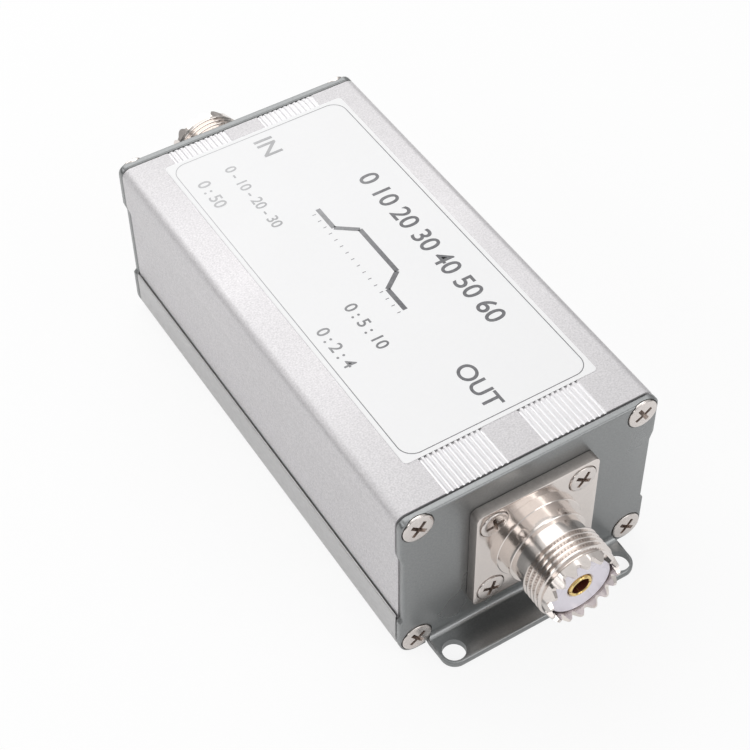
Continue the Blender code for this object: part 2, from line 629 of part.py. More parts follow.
def contact_mesh():
    """Centre contact: a bored tube in front, a rod, and a solder cup at the rear."""
    chamfer = (CONTACT_RADIUS - CONTACT_BORE_RADIUS) / 2
    profile = [(0, SOCKET_TIP - CONTACT_BORE_DEPTH), (CONTACT_BORE_RADIUS, SOCKET_TIP - CONTACT_BORE_DEPTH)]
    profile += [(CONTACT_BORE_RADIUS, SOCKET_TIP - chamfer), (CONTACT_RADIUS - chamfer, SOCKET_TIP)]
    profile += [(CONTACT_RADIUS, SOCKET_TIP - chamfer), (CONTACT_RADIUS, SOCKET_TIP - CONTACT_TUBE_LENGTH)]
    profile += [(CONTACT_ROD_RADIUS, SOCKET_TIP - CONTACT_TUBE_LENGTH), (CONTACT_ROD_RADIUS, CONTACT_END)]
    profile += [(CUP_BORE_RADIUS, CONTACT_END), (CUP_BORE_RADIUS, CONTACT_END + CUP_BORE_DEPTH)]
    profile += [(0, CONTACT_END + CUP_BORE_DEPTH)]
    mesh = turned("contact", profile, CONTACT_FACETS)
    side = 2 * CONTACT_ROD_RADIUS
    opening = block("opening", (-side, 0, CONTACT_END - side), (side, side, CONTACT_END + CUP_OPENING))
    return combined("contact", mesh, opening, "DIFFERENCE")


def nut_mesh():
    """Hexagon nut, its zero height on the face towards the plate."""
    corner = NUT_ACROSS_FLATS / math.sqrt(3)
    outlines = [circle(0, 0, corner, NUT_SIDES), circle(0, 0, FLANGE_HOLE_RADIUS, SMALL_HOLE_FACETS)]
    return extruded("nut", outlines, NUT_THICKNESS, FLAT, (0, 0, -NUT_THICKNESS / 2))


def ground_lug_mesh():
    """Flat ground lug: a ring under a nut with a tail that points up and takes the ground wire."""
    half = LUG_TAIL_WIDTH / 2
    root = math.degrees(math.asin(half / LUG_RADIUS))
    outline = arc(0, 0, LUG_RADIUS, 90 + root, 450 - root, 10)
    outline += arc(0, LUG_TAIL_LENGTH, half, 0, 180, 4)
    holes = [circle(0, 0, FLANGE_HOLE_RADIUS, SMALL_HOLE_FACETS)]
    holes.append(circle(0, LUG_TAIL_LENGTH, GROUND_WIRE_RADIUS + SEAT_GAP, SMALL_HOLE_FACETS))
    return extruded("ground_lug", [outline] + holes, LUG_THICKNESS, FLAT, (0, 0, -LUG_THICKNESS / 2))


def wire_curve(name, points, radius, resolution):
    """Round wire along a list of points."""
    curve = bpy.data.curves.new(name, "CURVE")
    curve.dimensions = "3D"
    curve.bevel_depth = radius
    curve.bevel_resolution = resolution
    curve.use_fill_caps = True
    spline = curve.splines.new("POLY")
    spline.points.add(len(points) - 1)
    for point, place in zip(spline.points, points):
        point.co = (*place, 1)
    return curve


def bent_route(x, y, z, y_end):
    """Route of a wire that runs level into the case and then bends down through the board."""
    points = [(x, y, z)]
    for across, height in arc(y_end - WIRE_BEND, z - WIRE_BEND, WIRE_BEND, 90, 0, 5):
        points.append((x, across, height))
    points.append((x, y_end, LEAD_END))
    return points


def make_end(prefix, turn, meshes):
    """Everything that one end plate carries, built for the end that faces -Y and then turned."""
    end = bpy.data.objects.new(prefix + "_end", None)
    parts.objects.link(end)
    end.rotation_euler = (0, 0, turn)

    piece(prefix + "_end_plate", meshes["end_plate"], "end_plate", end)
    corners = [(x * PLATE_SCREW_X, z) for z in (PLATE_SCREW_TOP, PLATE_SCREW_BOTTOM) for x in (-1, 1)]
    for number, (x, z) in enumerate(corners, 1):
        name = f"{prefix}_plate_screw_{number}"
        piece(name, meshes["plate_screw"], "screw", end, (x, -PLATE_FACE, z), OUTWARD)

    seat = (0, -PLATE_FACE, SOCKET_HEIGHT)
    piece(prefix + "_socket_body", meshes["socket_body"], "nickel", end, seat, OUTWARD)
    piece(prefix + "_insulator", meshes["insulator"], "insulator", end, seat, OUTWARD)
    piece(prefix + "_centre_contact", meshes["contact"], "contact", end, seat, OUTWARD)

    offset = FLANGE_SCREW_OFFSET
    holes = [(x, z) for z in (1, -1) for x in (-1, 1)]
    for number, (x, z) in enumerate(holes, 1):
        lugged = number == len(holes)
        screw = meshes["lug_screw"] if lugged else meshes["flange_screw"]
        nut_face = LUG_NUT_FACE if lugged else NUT_FACE
        place = (x * offset, -(PLATE_FACE + FLANGE_FACE), SOCKET_HEIGHT + z * offset)
        piece(f"{prefix}_flange_screw_{number}", screw, "screw", end, place, OUTWARD)
        place = (x * offset, -(PLATE_FACE + nut_face), SOCKET_HEIGHT + z * offset)
        piece(f"{prefix}_flange_nut_{number}", meshes["nut"], "zinc", end, place, OUTWARD)

    lug_height = SOCKET_HEIGHT - offset
    lug_place = (offset, -(PLATE_FACE + NUT_FACE), lug_height)
    piece(prefix + "_ground_lug", meshes["ground_lug"], "zinc", end, lug_place, OUTWARD)

    cup_floor = -(PLATE_FACE + CONTACT_END + CUP_BORE_DEPTH) + SEAT_GAP
    route = bent_route(0, cup_floor, SOCKET_HEIGHT, -(BOARD_END - WIRE_FROM_BOARD_END))
    piece(prefix + "_signal_wire", wire_curve(prefix + "_signal_wire", route, WIRE_RADIUS, 0), "wire", end)
    route = bent_route(offset, lug_place[1], SOCKET_HEIGHT, -(BOARD_END - GROUND_WIRE_FROM_BOARD_END))
    wire = wire_curve(prefix + "_ground_wire", route, GROUND_WIRE_RADIUS, 0)
    piece(prefix + "_ground_wire", wire, "wire", end)


def core_places():
    """Centre and turn of each toroid, side by side along the board and turned by turns."""
    places = []
    for i in range(CORES):
        side = -1 if i % 2 == 0 else 1
        y = (i - (CORES - 1) / 2) * CORE_PITCH
        places.append((side * CORE_SPREAD, y, 0 if i % 2 == 0 else math.pi / 2))
    return places


def capacitor_places():
    """Centre and turn of each capacitor, one beside each toroid and one between each pair."""
    places = [(math.copysign(CAPACITOR_SPREAD, -x), y, math.pi / 2) for x, y, _ in core_places()]
    places += [(0, (i - (CORES - 2) / 2) * CORE_PITCH, 0) for i in range(CORES - 1)]
    return places


def winding_lead_spread():
    """Distance of a winding's two ends from the toroid's middle."""
    reach = CORE_OUTER_RADIUS + SEAT_GAP + WINDING_RADIUS
    return reach * math.sin(math.radians(WINDING_GAP_ANGLE / 2))


def board_holes():
    """Places and wire radii of every hole in the board."""
    holes = []
    for places, spread, radius in (
            (core_places(), winding_lead_spread(), WINDING_RADIUS),
            (capacitor_places(), CAPACITOR_LEAD_SPACING / 2, CAPACITOR_LEAD_RADIUS)):
        for x, y, turn in places:
            for side in (-1, 1):
                across = side * spread
                holes.append((x + across * math.cos(turn), y + across * math.sin(turn), radius))
    for end in (-1, 1):
        holes.append((0, end * (BOARD_END - WIRE_FROM_BOARD_END), WIRE_RADIUS))
        ground_y = end * (BOARD_END - GROUND_WIRE_FROM_BOARD_END)
        holes.append((-end * FLANGE_SCREW_OFFSET, ground_y, GROUND_WIRE_RADIUS))
    return holes


def board_mesh():
    """Circuit board with its lead holes."""
    facets = LEAD_HOLE_FACETS
    outlines = [rounded_rectangle(0, 0, 2 * BOARD_SIDE, 2 * BOARD_END, BOARD_CORNER_RADIUS, 1)]
    for x, y, radius in board_holes():
        outlines.append(circle(x, y, (radius + SEAT_GAP) / math.cos(math.pi / facets), facets))
    return extruded("circuit_board", outlines, BOARD_THICKNESS)


def core_mesh():
    """Toroid core with chamfered edges, its axis along Y."""
    half = CORE_HEIGHT / 2
    cut = CORE_CHAMFER
    inner = CORE_INNER_RADIUS
    outer = CORE_OUTER_RADIUS
    profile = [(outer - cut, half), (outer, half - cut), (outer, cut - half), (outer - cut, -half)]
    profile += [(inner + cut, -half), (inner, cut - half), (inner, half - cut), (inner + cut, half)]
    mesh = turned("toroid_core", profile, CORE_FACETS, closed=True)
    mesh.transform(Matrix.Rotation(math.pi / 2, 4, "X"))
    return mesh


def winding_route(drop):
    """Route of the wire: a lead up through the board, its turns round the core and a lead down."""
    middle = (CORE_OUTER_RADIUS + CORE_INNER_RADIUS) / 2
    gap = SEAT_GAP + WINDING_RADIUS
    radial = (CORE_OUTER_RADIUS - CORE_INNER_RADIUS) / 2 + gap
    axial = CORE_HEIGHT / 2 + gap
    section = [(radial, axial), (-radial, axial), (-radial, -axial), (radial, -axial)]
    start = math.radians(WINDING_GAP_ANGLE / 2 - 90)
    sweep = math.radians(360 - WINDING_GAP_ANGLE)
    count = WINDING_TURNS * len(section)
    coil = []
    for i in range(count):
        out, along = section[i % len(section)]
        angle = start + sweep * (i + 0.5) / count
        coil.append(((middle + out) * math.cos(angle), along, (middle + out) * math.sin(angle)))
    lead = middle + radial
    ends = [(lead * math.cos(angle), 0, lead * math.sin(angle)) for angle in (start, start + sweep)]
    down = [(x, y, -drop) for x, y, _ in ends]
    return [down[0], ends[0]] + coil + [ends[1], down[1]]


def capacitor_mesh():
    """Boxed film capacitor with two leads, its zero height on the board."""
    low = (-CAPACITOR_LENGTH / 2, -CAPACITOR_WIDTH / 2, CAPACITOR_STANDOFF)
    high = (CAPACITOR_LENGTH / 2, CAPACITOR_WIDTH / 2, CAPACITOR_STANDOFF + CAPACITOR_HEIGHT)
    mesh = block("capacitor", low, high)
    top = CAPACITOR_STANDOFF + CAPACITOR_HEIGHT / 4
    bottom = LEAD_END - BOARD_TOP
    places = [(side * CAPACITOR_LEAD_SPACING / 2, 0, (top + bottom) / 2) for side in (-1, 1)]
    leads = rods(CAPACITOR_LEAD_RADIUS, places, top - bottom, LEAD_HOLE_FACETS)
    return combined("capacitor", mesh, leads, "UNION")


def make_board():
    """Circuit board with its toroids, windings and capacitors."""
    board_middle = (BOARD_BOTTOM + BOARD_TOP) / 2
    piece("circuit_board", board_mesh(), "board", location=(0, 0, board_middle))
    core = core_mesh()
    height = BOARD_TOP + SEAT_GAP + CORE_OUTER_RADIUS
    route = winding_route(height - LEAD_END)
    winding = wire_curve("toroid_winding", route, WINDING_RADIUS, 0)
    for number, (x, y, turn) in enumerate(core_places(), 1):
        piece(f"toroid_core_{number}", core, "core", None, (x, y, height), (0, 0, turn))
        piece(f"toroid_winding_{number}", winding, "winding", None, (x, y, height), (0, 0, turn))
    capacitor = capacitor_mesh()
    for number, (x, y, turn) in enumerate(capacitor_places(), 1):
        piece(f"capacitor_{number}", capacitor, "capacitor", None, (x, y, BOARD_TOP), (0, 0, turn))


def make_filter():
    """The whole filter."""
    make_materials()
    make_case()
    meshes = {
        "end_plate": end_plate_mesh(),
        "plate_screw": screw_mesh("plate_screw", PLATE_HEAD_RADIUS, PLATE_HEAD_RIM, PLATE_THICKNESS,
                                  PLATE_SCREW_RADIUS, PLATE_THICKNESS + PLATE_SCREW_REACH),
        "flange_screw": flange_screw_mesh(SEAT_GAP),
        "lug_screw": flange_screw_mesh(SEAT_GAP + LUG_THICKNESS + SEAT_GAP),
        "socket_body": socket_body_mesh(),
        "insulator": insulator_mesh(),
        "contact": contact_mesh(),
        "nut": nut_mesh(),
        "ground_lug": ground_lug_mesh(),
    }
    make_end("antenna", 0, meshes)
    make_end("transmitter", math.pi, meshes)
    make_board()


for old in list(bpy.data.objects):
    bpy.data.objects.remove(old)
parts = bpy.data.collections.new("rf_bandpass_filter")
bench = bpy.data.collections.new("bench")
for group in (parts, bench):
    bpy.context.scene.collection.children.link(group)
make_filter()
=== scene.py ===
"""Looks of an RF bandpass filter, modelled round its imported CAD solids."""

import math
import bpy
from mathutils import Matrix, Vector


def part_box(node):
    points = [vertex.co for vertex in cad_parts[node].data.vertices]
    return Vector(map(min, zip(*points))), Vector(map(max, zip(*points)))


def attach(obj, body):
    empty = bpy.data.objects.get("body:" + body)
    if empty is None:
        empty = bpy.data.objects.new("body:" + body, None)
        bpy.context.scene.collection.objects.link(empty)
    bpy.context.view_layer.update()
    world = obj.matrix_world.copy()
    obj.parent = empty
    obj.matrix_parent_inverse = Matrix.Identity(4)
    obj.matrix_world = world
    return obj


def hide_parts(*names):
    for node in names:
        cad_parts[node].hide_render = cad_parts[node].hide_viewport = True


bl_info = {
    "name": "RF Bandpass Filter",
    "version": (1, 0, 0),
    "blender": (4, 5, 0),
    "location": "3D View > Sidebar > Filter",
    "description": "Models and finishes a bandpass filter in an extruded aluminium case",
    "category": "Add Mesh",
}

import bmesh
import bpy
from mathutils import Matrix, Vector

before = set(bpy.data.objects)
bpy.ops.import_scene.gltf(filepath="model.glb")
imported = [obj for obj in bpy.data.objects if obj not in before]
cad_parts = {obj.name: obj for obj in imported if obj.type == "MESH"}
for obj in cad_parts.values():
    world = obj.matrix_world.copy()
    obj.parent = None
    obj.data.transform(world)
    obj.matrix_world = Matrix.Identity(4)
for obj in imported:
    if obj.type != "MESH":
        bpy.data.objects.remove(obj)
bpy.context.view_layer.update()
CASE_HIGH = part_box("upper_shell")[1]

MM = 0.001
NEAR = 0.01 * MM
SNUG = 0.02 * MM
BODY = "root"
ENDS = (("antenna", 0.0), ("transmitter", math.pi))
SIDES = (-1, 1)
THROUGH = 5 * MM
SMOOTH_ANGLE = math.radians(32)
QUARTER = math.pi / 2
ALONG = 0.999
DOME_STEPS = 6
DOME_FALL = 0.35
CROSS_TAPER = 0.6
TOOTH_SHAPE = (1.0, 0.93, 0.6, 0.12, 0.0)
TEXT_WEIGHT = 0.012
WHITE = (1.0, 1.0, 1.0, 1.0)
BLACK = (0.0, 0.0, 0.0, 1.0)
# Pale ink colour, for the print's wear and for a painted glare over it.
INK_WEAR_AND_GLARE = (0.85, 0.85, 0.86, 1.0)

# Name, colour or its setting, metallic, lowest and highest roughness, then of the grain: density, contrast,
# stretch, dark and light share, bump and depth in millimetres, then density of the patches, scratches and coat.
FINISHES = (
    ("upper_case_satin", "upper_case", 0.8, 0.5, 0.58, 3200, 2.6, 1, 0.86, 1.12, 0.35, 0.02, 35, 0, 0),
    # Painted highlight: the rib bands' lighter colour stands for the light their groove edges catch.
    ("bright_ribs", "ribs", 0.85, 0.3, 0.38, 3200, 1.2, 1, 0.95, 1.05, 0.1, 0.01, 35, 0, 0),
    ("lower_case_satin", "lower_case", 0.85, 0.38, 0.46, 3000, 2.0, 0.25, 0.9, 1.08, 0.25, 0.02, 35, 0, 0),
    ("plate_coating", "end_plate", 0.8, 0.26, 0.34, 2600, 1.6, 1, 0.88, 1.15, 0.12, 0.012, 45, 0.05, 0),
    ("bright_nickel", "nickel", 1, 0.1, 0.2, 1400, 1, 1, 0.95, 1.05, 0.06, 0.01, 120, 0.12, 0),
    ("stamped_edge", "edge", 1, 0.35, 0.5, 1800, 1.8, 1, 0.85, 1.08, 0.2, 0.02, 120, 0, 0),
    ("screw_nickel", "screw", 1, 0.16, 0.3, 1600, 1, 1, 0.9, 1.08, 0.1, 0.012, 160, 0.2, 0),
    # Painted shade: the dark colour in the screws' cross recesses.
    ("dark_recess", (0.48, 0.41, 0.37), 1, 0.35, 0.6, 1500, 2, 1, 0.6, 1.5, 0.2, 0.02, 900, 0, 0),
    ("insulator_plastic", "insulator", 0, 0.2, 0.32, 1500, 1, 1, 0.96, 1.03, 0.05, 0.01, 90, 0, 0.3),
    ("gold_plate", "contact", 1, 0.12, 0.24, 1500, 1, 1, 0.9, 1.08, 0.06, 0.01, 150, 0.1, 0),
    # Painted shade: the dark red-brown inside the contacts' bores.
    ("dark_bore", (0.3, 0.09, 0.06), 0.9, 0.4, 0.5, 1500, 1, 1, 0.85, 1.08, 0.1, 0.01, 150, 0, 0),
    ("label_film", "label", 0, 0.42, 0.55, 1200, 1, 1, 0.985, 1.01, 0.04, 0.01, 30, 0, 0),
    ("zinc_plate", (0.6, 0.61, 0.63), 1, 0.28, 0.42, 1300, 1.6, 1, 0.85, 1.08, 0.12, 0.02, 140, 0.2, 0),
    ("green_laminate", (0.03, 0.15, 0.07), 0, 0.35, 0.5, 900, 1.5, 1, 0.8, 1.3, 0.15, 0.03, 70, 0, 0.4),
    ("iron_powder", (0.42, 0.07, 0.05), 0, 0.5, 0.65, 1600, 2.2, 1, 0.7, 1.2, 0.4, 0.05, 80, 0, 0),
    ("enamelled_copper", (0.55, 0.22, 0.09), 1, 0.2, 0.32, 1200, 1, 1, 0.85, 1.08, 0.06, 0.02, 110, 0, 0.5),
    ("capacitor_case", (0.06, 0.16, 0.38), 0, 0.3, 0.45, 1100, 1, 1, 0.85, 1.08, 0.2, 0.03, 90, 0, 0),
    ("tinned_wire", (0.7, 0.7, 0.71), 1, 0.25, 0.4, 1000, 1, 0.02, 0.85, 1.08, 0.1, 0.02, 140, 0, 0),
)


def length(label, description, millimetres):
    """Length property with its default in millimetres."""
    return bpy.props.FloatProperty(
        name=label, description=description, default=millimetres * MM, unit="LENGTH", precision=5)


def amount(label, description, value):
    """Plain number property."""
    return bpy.props.FloatProperty(name=label, description=description, default=value)


def angle(label, description, degrees):
    """Angle property with its default in degrees."""
    return bpy.props.FloatProperty(
        name=label, description=description, default=math.radians(degrees), subtype="ANGLE")


def count(label, description, value):
    """Whole number property."""
    return bpy.props.IntProperty(name=label, description=description, default=value, min=1)


def colour(label, description, value):
    """Colour property."""
    return bpy.props.FloatVectorProperty(
        name=label, description=description, default=value, size=3, subtype="COLOR", min=0.0, max=1.0)


class CaseSettings(bpy.types.PropertyGroup):
    """Sizes of the two shells."""

    side_wall: length("Side Wall", "Thickness of the upper shell's sides", 1.5)
    top_wall: length("Top Wall", "Thickness of the top", 1.7)
    floor_wall: length("Floor", "Thickness of the lower shell's floor", 1.6)
    top_round: length("Top Edge", "Radius of the long edges of the top", 2.0)
    bottom_round: length("Bottom Edge", "Radius of the long edges of the underside", 3.5)
    band: length("Side Band", "Height of the full-width band below the top", 9.4)
    slope: length("Band Slope", "Height of the slope below the band", 2.0)
    trim: length("Side Trim", "How far the full-width parts stay inside the solid's", 0.6)
    recess: length("Side Recess", "How far the sides lie in below the band", 0.6)
    seam: length("Seam Height", "Height where the two shells meet", 10.4)
    lip: length("Lip Round", "Radius of the lower shell's upper outer edges", 0.5)
    lap: length("Lap", "Depth of the lap between the shells", 2.4)
    gap: length("Seat Gap", "Distance between pieces that touch", 0.3)
    rim: length("Rim Round", "Radius of the cut ends' edges", 0.15)
    grooves: count("Grooves", "Grooves in each rib band", 12)
    groove_start: length("First Groove", "Distance of the first groove from the middle", 3.65)
    groove_pitch: length("Groove Pitch", "Distance between grooves", 1.1)
    groove_width: length("Groove Width", "Width of a groove at the surface", 0.66)
    groove_floor: length("Groove Floor", "Width of a groove at its floor", 0.1)
    groove_depth: length("Groove Depth", "Depth of a groove", 0.3)


class PlateSettings(bpy.types.PropertyGroup):
    """Sizes of the end plates."""

    thickness: length("Thickness", "Thickness of the sheet", 1.5)
    edge: length("Edge Round", "Radius of the sheet's edges", 0.35)
    fold: length("Fold", "Inner radius of the fold", 1.2)
    foot_side: length("Foot Half Width", "Distance of the foot's sides from the middle", 20.8)
    foot_reach: length("Foot Reach", "How far the foot stands out from the plate", 7.5)
    foot_corner: length("Foot Corner", "Radius of the foot's corners", 2.8)
    foot_hole: length("Foot Hole", "Radius of the foot's holes", 2.2)
    hole_side: length("Hole Side", "Distance of the foot's holes from the middle", 18.1)
    hole_out: length("Hole Reach", "Distance of the foot's holes from the plate", 4.7)
    relief: length("Relief Slit", "Width of the slits beside the fold", 0.3)
    screw_side: length("Screw Side", "Distance of the corner screws from the middle", 23.0)
    screw_top: length("Screw Top", "Height of the upper corner screws", 35.75)
    screw_bottom: length("Screw Bottom", "Height of the lower corner screws", 3.75)
    boss_hole: length("Boss Hole", "Radius of the hole behind a socket", 5.9)
    screw_hole: length("Screw Hole", "Radius of the flange screws' holes", 1.75)


class SocketSettings(bpy.types.PropertyGroup):
    """Sizes of the sockets, with distances from the end plate's face."""

    height: length("Height", "Height of the socket's axis", 20.4)
    flange: length("Flange", "Width of the square flange", 25.4)
    flange_thickness: length("Flange Thickness", "Thickness of the flange", 2.0)
    flange_corner: length("Flange Corner", "Radius of the flange's corners", 1.3)
    flange_edge: length("Flange Edge", "Radius of the flange's edges", 0.2)
    screw_offset: length("Screw Offset", "Distance of the flange screws from the axis", 9.15)
    collar: length("Collar Radius", "Radius of the collar", 8.9)
    collar_end: length("Collar End", "End of the collar", 3.4)
    shoulder: length("Shoulder Radius", "Radius of the shoulder between the collar and the ring", 7.7)
    shoulder_end: length("Shoulder End", "End of the shoulder, where the ring starts", 5.4)
    ring: length("Ring Radius", "Radius of the ring", 8.0)
    ring_end: length("Ring End", "End of the ring", 6.1)
    neck: length("Neck Radius", "Radius of the neck and of the thread's root", 7.25)
    thread: length("Thread Radius", "Radius of the thread's crest", 7.94)
    thread_start: length("Thread Start", "Start of the thread", 8.7)
    thread_pitch: length("Thread Pitch", "Distance between turns, 24 to the inch", 25.4 / 24)
    thread_turns: count("Thread Turns", "Turns of the thread", 5)
    rim: length("Rim Radius", "Radius of the rim below the teeth", 7.6)
    rim_start: length("Rim Start", "Start of the rim", 14.6)
    tip: length("Rim End", "End of the rim, where the teeth start", 15.6)
    bore: length("Bore Radius", "Radius of the barrel's bore", 6.5)
    bore_floor: length("Bore Floor", "Depth where the bore ends", 3.0)
    teeth: count("Teeth", "Teeth round the rim", 16)
    tooth_height: length("Tooth Height", "Height of the teeth", 1.35)
    boss: length("Rear Boss Radius", "Radius of the boss behind the plate", 5.6)
    boss_bore: length("Rear Bore Radius", "Radius of the boss's bore", 4.7)
    boss_end: length("Rear Boss End", "End of the boss", -4.0)
    facets: count("Steps", "Steps round the barrel", 128)


class InsertSettings(bpy.types.PropertyGroup):
    """Sizes of the insulator and the centre contact."""

    outer: length("Insulator Radius", "Radius of the insulator in the bore", 6.3)
    face: length("Face", "Distance of the insulator's face from the plate", 15.45)
    dish: length("Dish", "Depth of the insulator's dished face", 0.15)
    rear: length("Rear Radius", "Radius of the insulator in the boss", 4.4)
    rear_end: length("Rear End", "End of the insulator behind the plate", -4.6)
    contact: length("Contact Radius", "Outer radius of the centre contact", 2.35)
    contact_bore: length("Contact Bore", "Radius of the centre contact's bore", 1.75)
    bore_depth: length("Bore Depth", "Depth of the centre contact's bore", 8.0)
    rod: length("Rod Radius", "Radius of the centre contact's rear rod", 1.5)
    contact_end: length("Contact End", "End of the solder cup", -9.0)
    cup: length("Cup Radius", "Radius of the solder cup's bore", 0.8)
    slit: length("Slit", "Width of the slits in the contact", 0.14)
    slit_length: length("Slit Length", "Length of the slits in the contact", 5.0)


class ScrewSettings(bpy.types.PropertyGroup):
    """Sizes of the screws."""

    plate_head: length("Corner Head Radius", "Radius of a corner screw's head", 3.0)
    dome: length("Head Dome", "Height of a head's dome", 0.42)
    plate_rim: length("Corner Head Rim", "Height of a corner screw's rim", 0.2)
    plate_shank: length("Corner Shank Radius", "Radius of a corner screw's shank", 1.3)
    plate_length: length("Corner Length", "Length of a corner screw", 10.5)
    flange_head: length("Flange Head Radius", "Radius of a flange screw's head", 2.75)
    flange_rim: length("Flange Head Rim", "Height of a flange screw's rim", 0.1)
    flange_shank: length("Flange Shank Radius", "Radius of a flange screw's shank", 1.45)
    flange_length: length("Flange Length", "Length of a flange screw below its face", 7.2)
    edge: length("Head Edge", "Radius of a head's edge", 0.2)
    fit: length("Head Fit", "Gap round a screw's head", 0.2)
    recess_reach: length("Recess Reach", "Half the span of the cross recess", 1.9)
    recess_width: length("Recess Width", "Width of a slot of the cross recess", 0.78)
    recess_depth: length("Recess Depth", "Depth of the cross recess", 1.6)


class LabelSettings(bpy.types.PropertyGroup):
    """Sizes of the label and its print."""

    width: length("Width", "Width of the label", 39.8)
    length: length("Length", "Length of the label", 87.0)
    corner: length("Corner", "Radius of the label's corners", 0.8)
    thickness: length("Thickness", "Thickness of the film", 0.1)
    shift_x: length("Shift Across", "Distance of the label's middle from the case's, across", 0.95)
    shift_y: length("Shift Along", "Distance of the label's middle from the case's, along", 2.4)
    border_inset: length("Border Inset", "Distance of the printed border from the edge", 0.85)
    border_corner: length("Border Corner", "Radius of the printed border's corners", 3.0)
    line: length("Line", "Width of the thin printed lines", 0.16)
    bold_line: length("Bold Line", "Width of the thick printed lines", 0.95)
    print_height: length("Print Height", "How far the print stands up from the film", 0.02)


class FinishSettings(bpy.types.PropertyGroup):
    """Colours of the finishes."""

    upper_case: colour("Upper Case", "Satin aluminium of the upper shell", (0.68, 0.665, 0.675))
    # Painted highlight: this lighter tone stands for the light that the rib bands catch.
    ribs: colour("Ribs", "Brighter aluminium of the rib bands", (0.82, 0.81, 0.82))
    lower_case: colour("Lower Case", "Satin aluminium of the lower shell", (0.58, 0.575, 0.575))
    end_plate: colour("End Plate", "Dark coating of the end plates", (0.28, 0.288, 0.29))
    nickel: colour("Nickel", "Nickel of the sockets", (0.77, 0.715, 0.68))
    edge: colour("Flange Edge", "Duller nickel of the flanges' stamped edges", (0.42, 0.39, 0.37))
    screw: colour("Screw", "Nickel of the screws", (0.74, 0.69, 0.66))
    insulator: colour("Insulator", "Plastic of the insulators", (0.84, 0.80, 0.88))
    contact: colour("Contact", "Gold plate of the centre contacts", (0.88, 0.66, 0.28))
    label: colour("Label", "Film of the label", (0.97, 0.97, 0.975))
    ink: colour("Ink", "Print on the label", (0.10, 0.10, 0.11))


class StudioSettings(bpy.types.PropertyGroup):
    """Camera and lights."""

    lens: amount("Lens", "Focal length of the camera, in millimetres", 86.415)
    azimuth: angle("Azimuth", "Direction of the camera round the filter", -31.086)
    elevation: angle("Elevation", "Height of the camera as an angle", 48.475)
    roll: angle("Roll", "Turn of the camera about its own axis", -0.944)
    distance: length("Distance", "Distance of the camera from its target", 343.445)
    target: bpy.props.FloatVectorProperty(
        name="Target", description="Point that the camera looks at",
        default=(-2.249 * MM, -4.267 * MM, 15.947 * MM), subtype="TRANSLATION", unit="LENGTH")
    sky: amount("Sky", "Strength of the surrounding light", 0.5)
    gloss_sky: amount("Reflected Sky", "Strength of the sky above in reflections", 0.8)
    horizon: amount("Reflected Horizon", "Strength of the horizon in reflections", 0.35)
    floor_lift: amount("Floor Lift", "Share of plain white in the floor as it shows", 0.86)
    floor_gloss: amount("Floor Gloss", "Share of the floor's lift that reflections show", 0.36)
    top_light: amount("Top Light", "Power of the light above, in watts", 1.65)
    front_light: amount("Front Light", "Power of the light at the front right, in watts", 0.42)
    left_light: amount("Left Light", "Power of the strip light at the left, in watts", 1.0)


GROUPS = {
    "filter_case": CaseSettings,
    "filter_plate": PlateSettings,
    "filter_socket": SocketSettings,
    "filter_insert": InsertSettings,
    "filter_screws": ScrewSettings,
    "filter_label": LabelSettings,
    "filter_finish": FinishSettings,
    "filter_studio": StudioSettings,
}


# Selecting

def clear_selection():
    """Leave edit mode with nothing selected."""
    if bpy.context.mode != "OBJECT":
        bpy.ops.object.mode_set(mode="OBJECT")
    bpy.ops.object.select_all(action="DESELECT")


def use(piece):
    """Make one piece the only selected one, and the active one."""
    clear_selection()
    piece.select_set(True)
    bpy.context.view_layer.objects.active = piece


def drop(piece):
    """Delete a piece."""
    use(piece)
    bpy.ops.object.delete()


def edit(piece):
    """Start to edit a piece with everything in it selected."""
    use(piece)
    bpy.ops.object.mode_set(mode="EDIT")
    bpy.ops.mesh.select_mode(type="VERT")
    bpy.ops.mesh.select_all(action="SELECT")


def pick(piece, kind, test):
    """Select only the vertices, edges or faces that pass a test."""
    bpy.ops.mesh.select_mode(type=kind)
    bpy.ops.mesh.select_all(action="DESELECT")
    shape = bmesh.from_edit_mesh(piece.data)
    items = {"VERT": shape.verts, "EDGE": shape.edges, "FACE": shape.faces}[kind]
    chosen = [item for item in items if test(item)]
    if not chosen:
        raise RuntimeError(f"{piece.name}: nothing to select")
    for item in chosen:
        item.select_set(True)
    shape.select_flush_mode()
    bmesh.update_edit_mesh(piece.data)


def near(value, target):
    """True where two lengths are the same."""
    return abs(value - target) < NEAR


def runs_along(edge, axis):
    """True for an edge along one axis."""
    span = edge.verts[1].co - edge.verts[0].co
    return abs(span[axis]) > ALONG * span.length


def lies_at(edge, axis, value):
    """True for an edge with both ends at one place on an axis."""
    return all(near(vertex.co[axis], value) for vertex in edge.verts)


# Modelling

def name_piece(name):
    """The active object under a new name."""
    piece = bpy.context.object
    piece.name = name
    piece.data.name = name
    return piece


def place(piece, location=(0, 0, 0), turn=(0, 0, 0)):
    """Put a piece in its place, and its place in its mesh."""
    use(piece)
    piece.rotation_euler = turn
    piece.location = location
    bpy.ops.object.transform_apply()
    return piece


def add_block(name, low, high):
    """Block between two corners."""
    clear_selection()
    low, high = Vector(low), Vector(high)
    bpy.ops.mesh.primitive_cube_add(size=1, location=(low + high) / 2, scale=high - low)
    bpy.ops.object.transform_apply()
    return name_piece(name)


def add_rod(name, radius, start, end, steps=48):
    """Rod between two points on one axis."""
    clear_selection()
    start, end = Vector(start), Vector(end)
    turn = (end - start).to_track_quat("Z", "Y").to_euler()
    bpy.ops.mesh.primitive_cylinder_add(
        vertices=steps, radius=radius, depth=(end - start).length, location=(start + end) / 2, rotation=turn)
    bpy.ops.object.transform_apply()
    return name_piece(name)


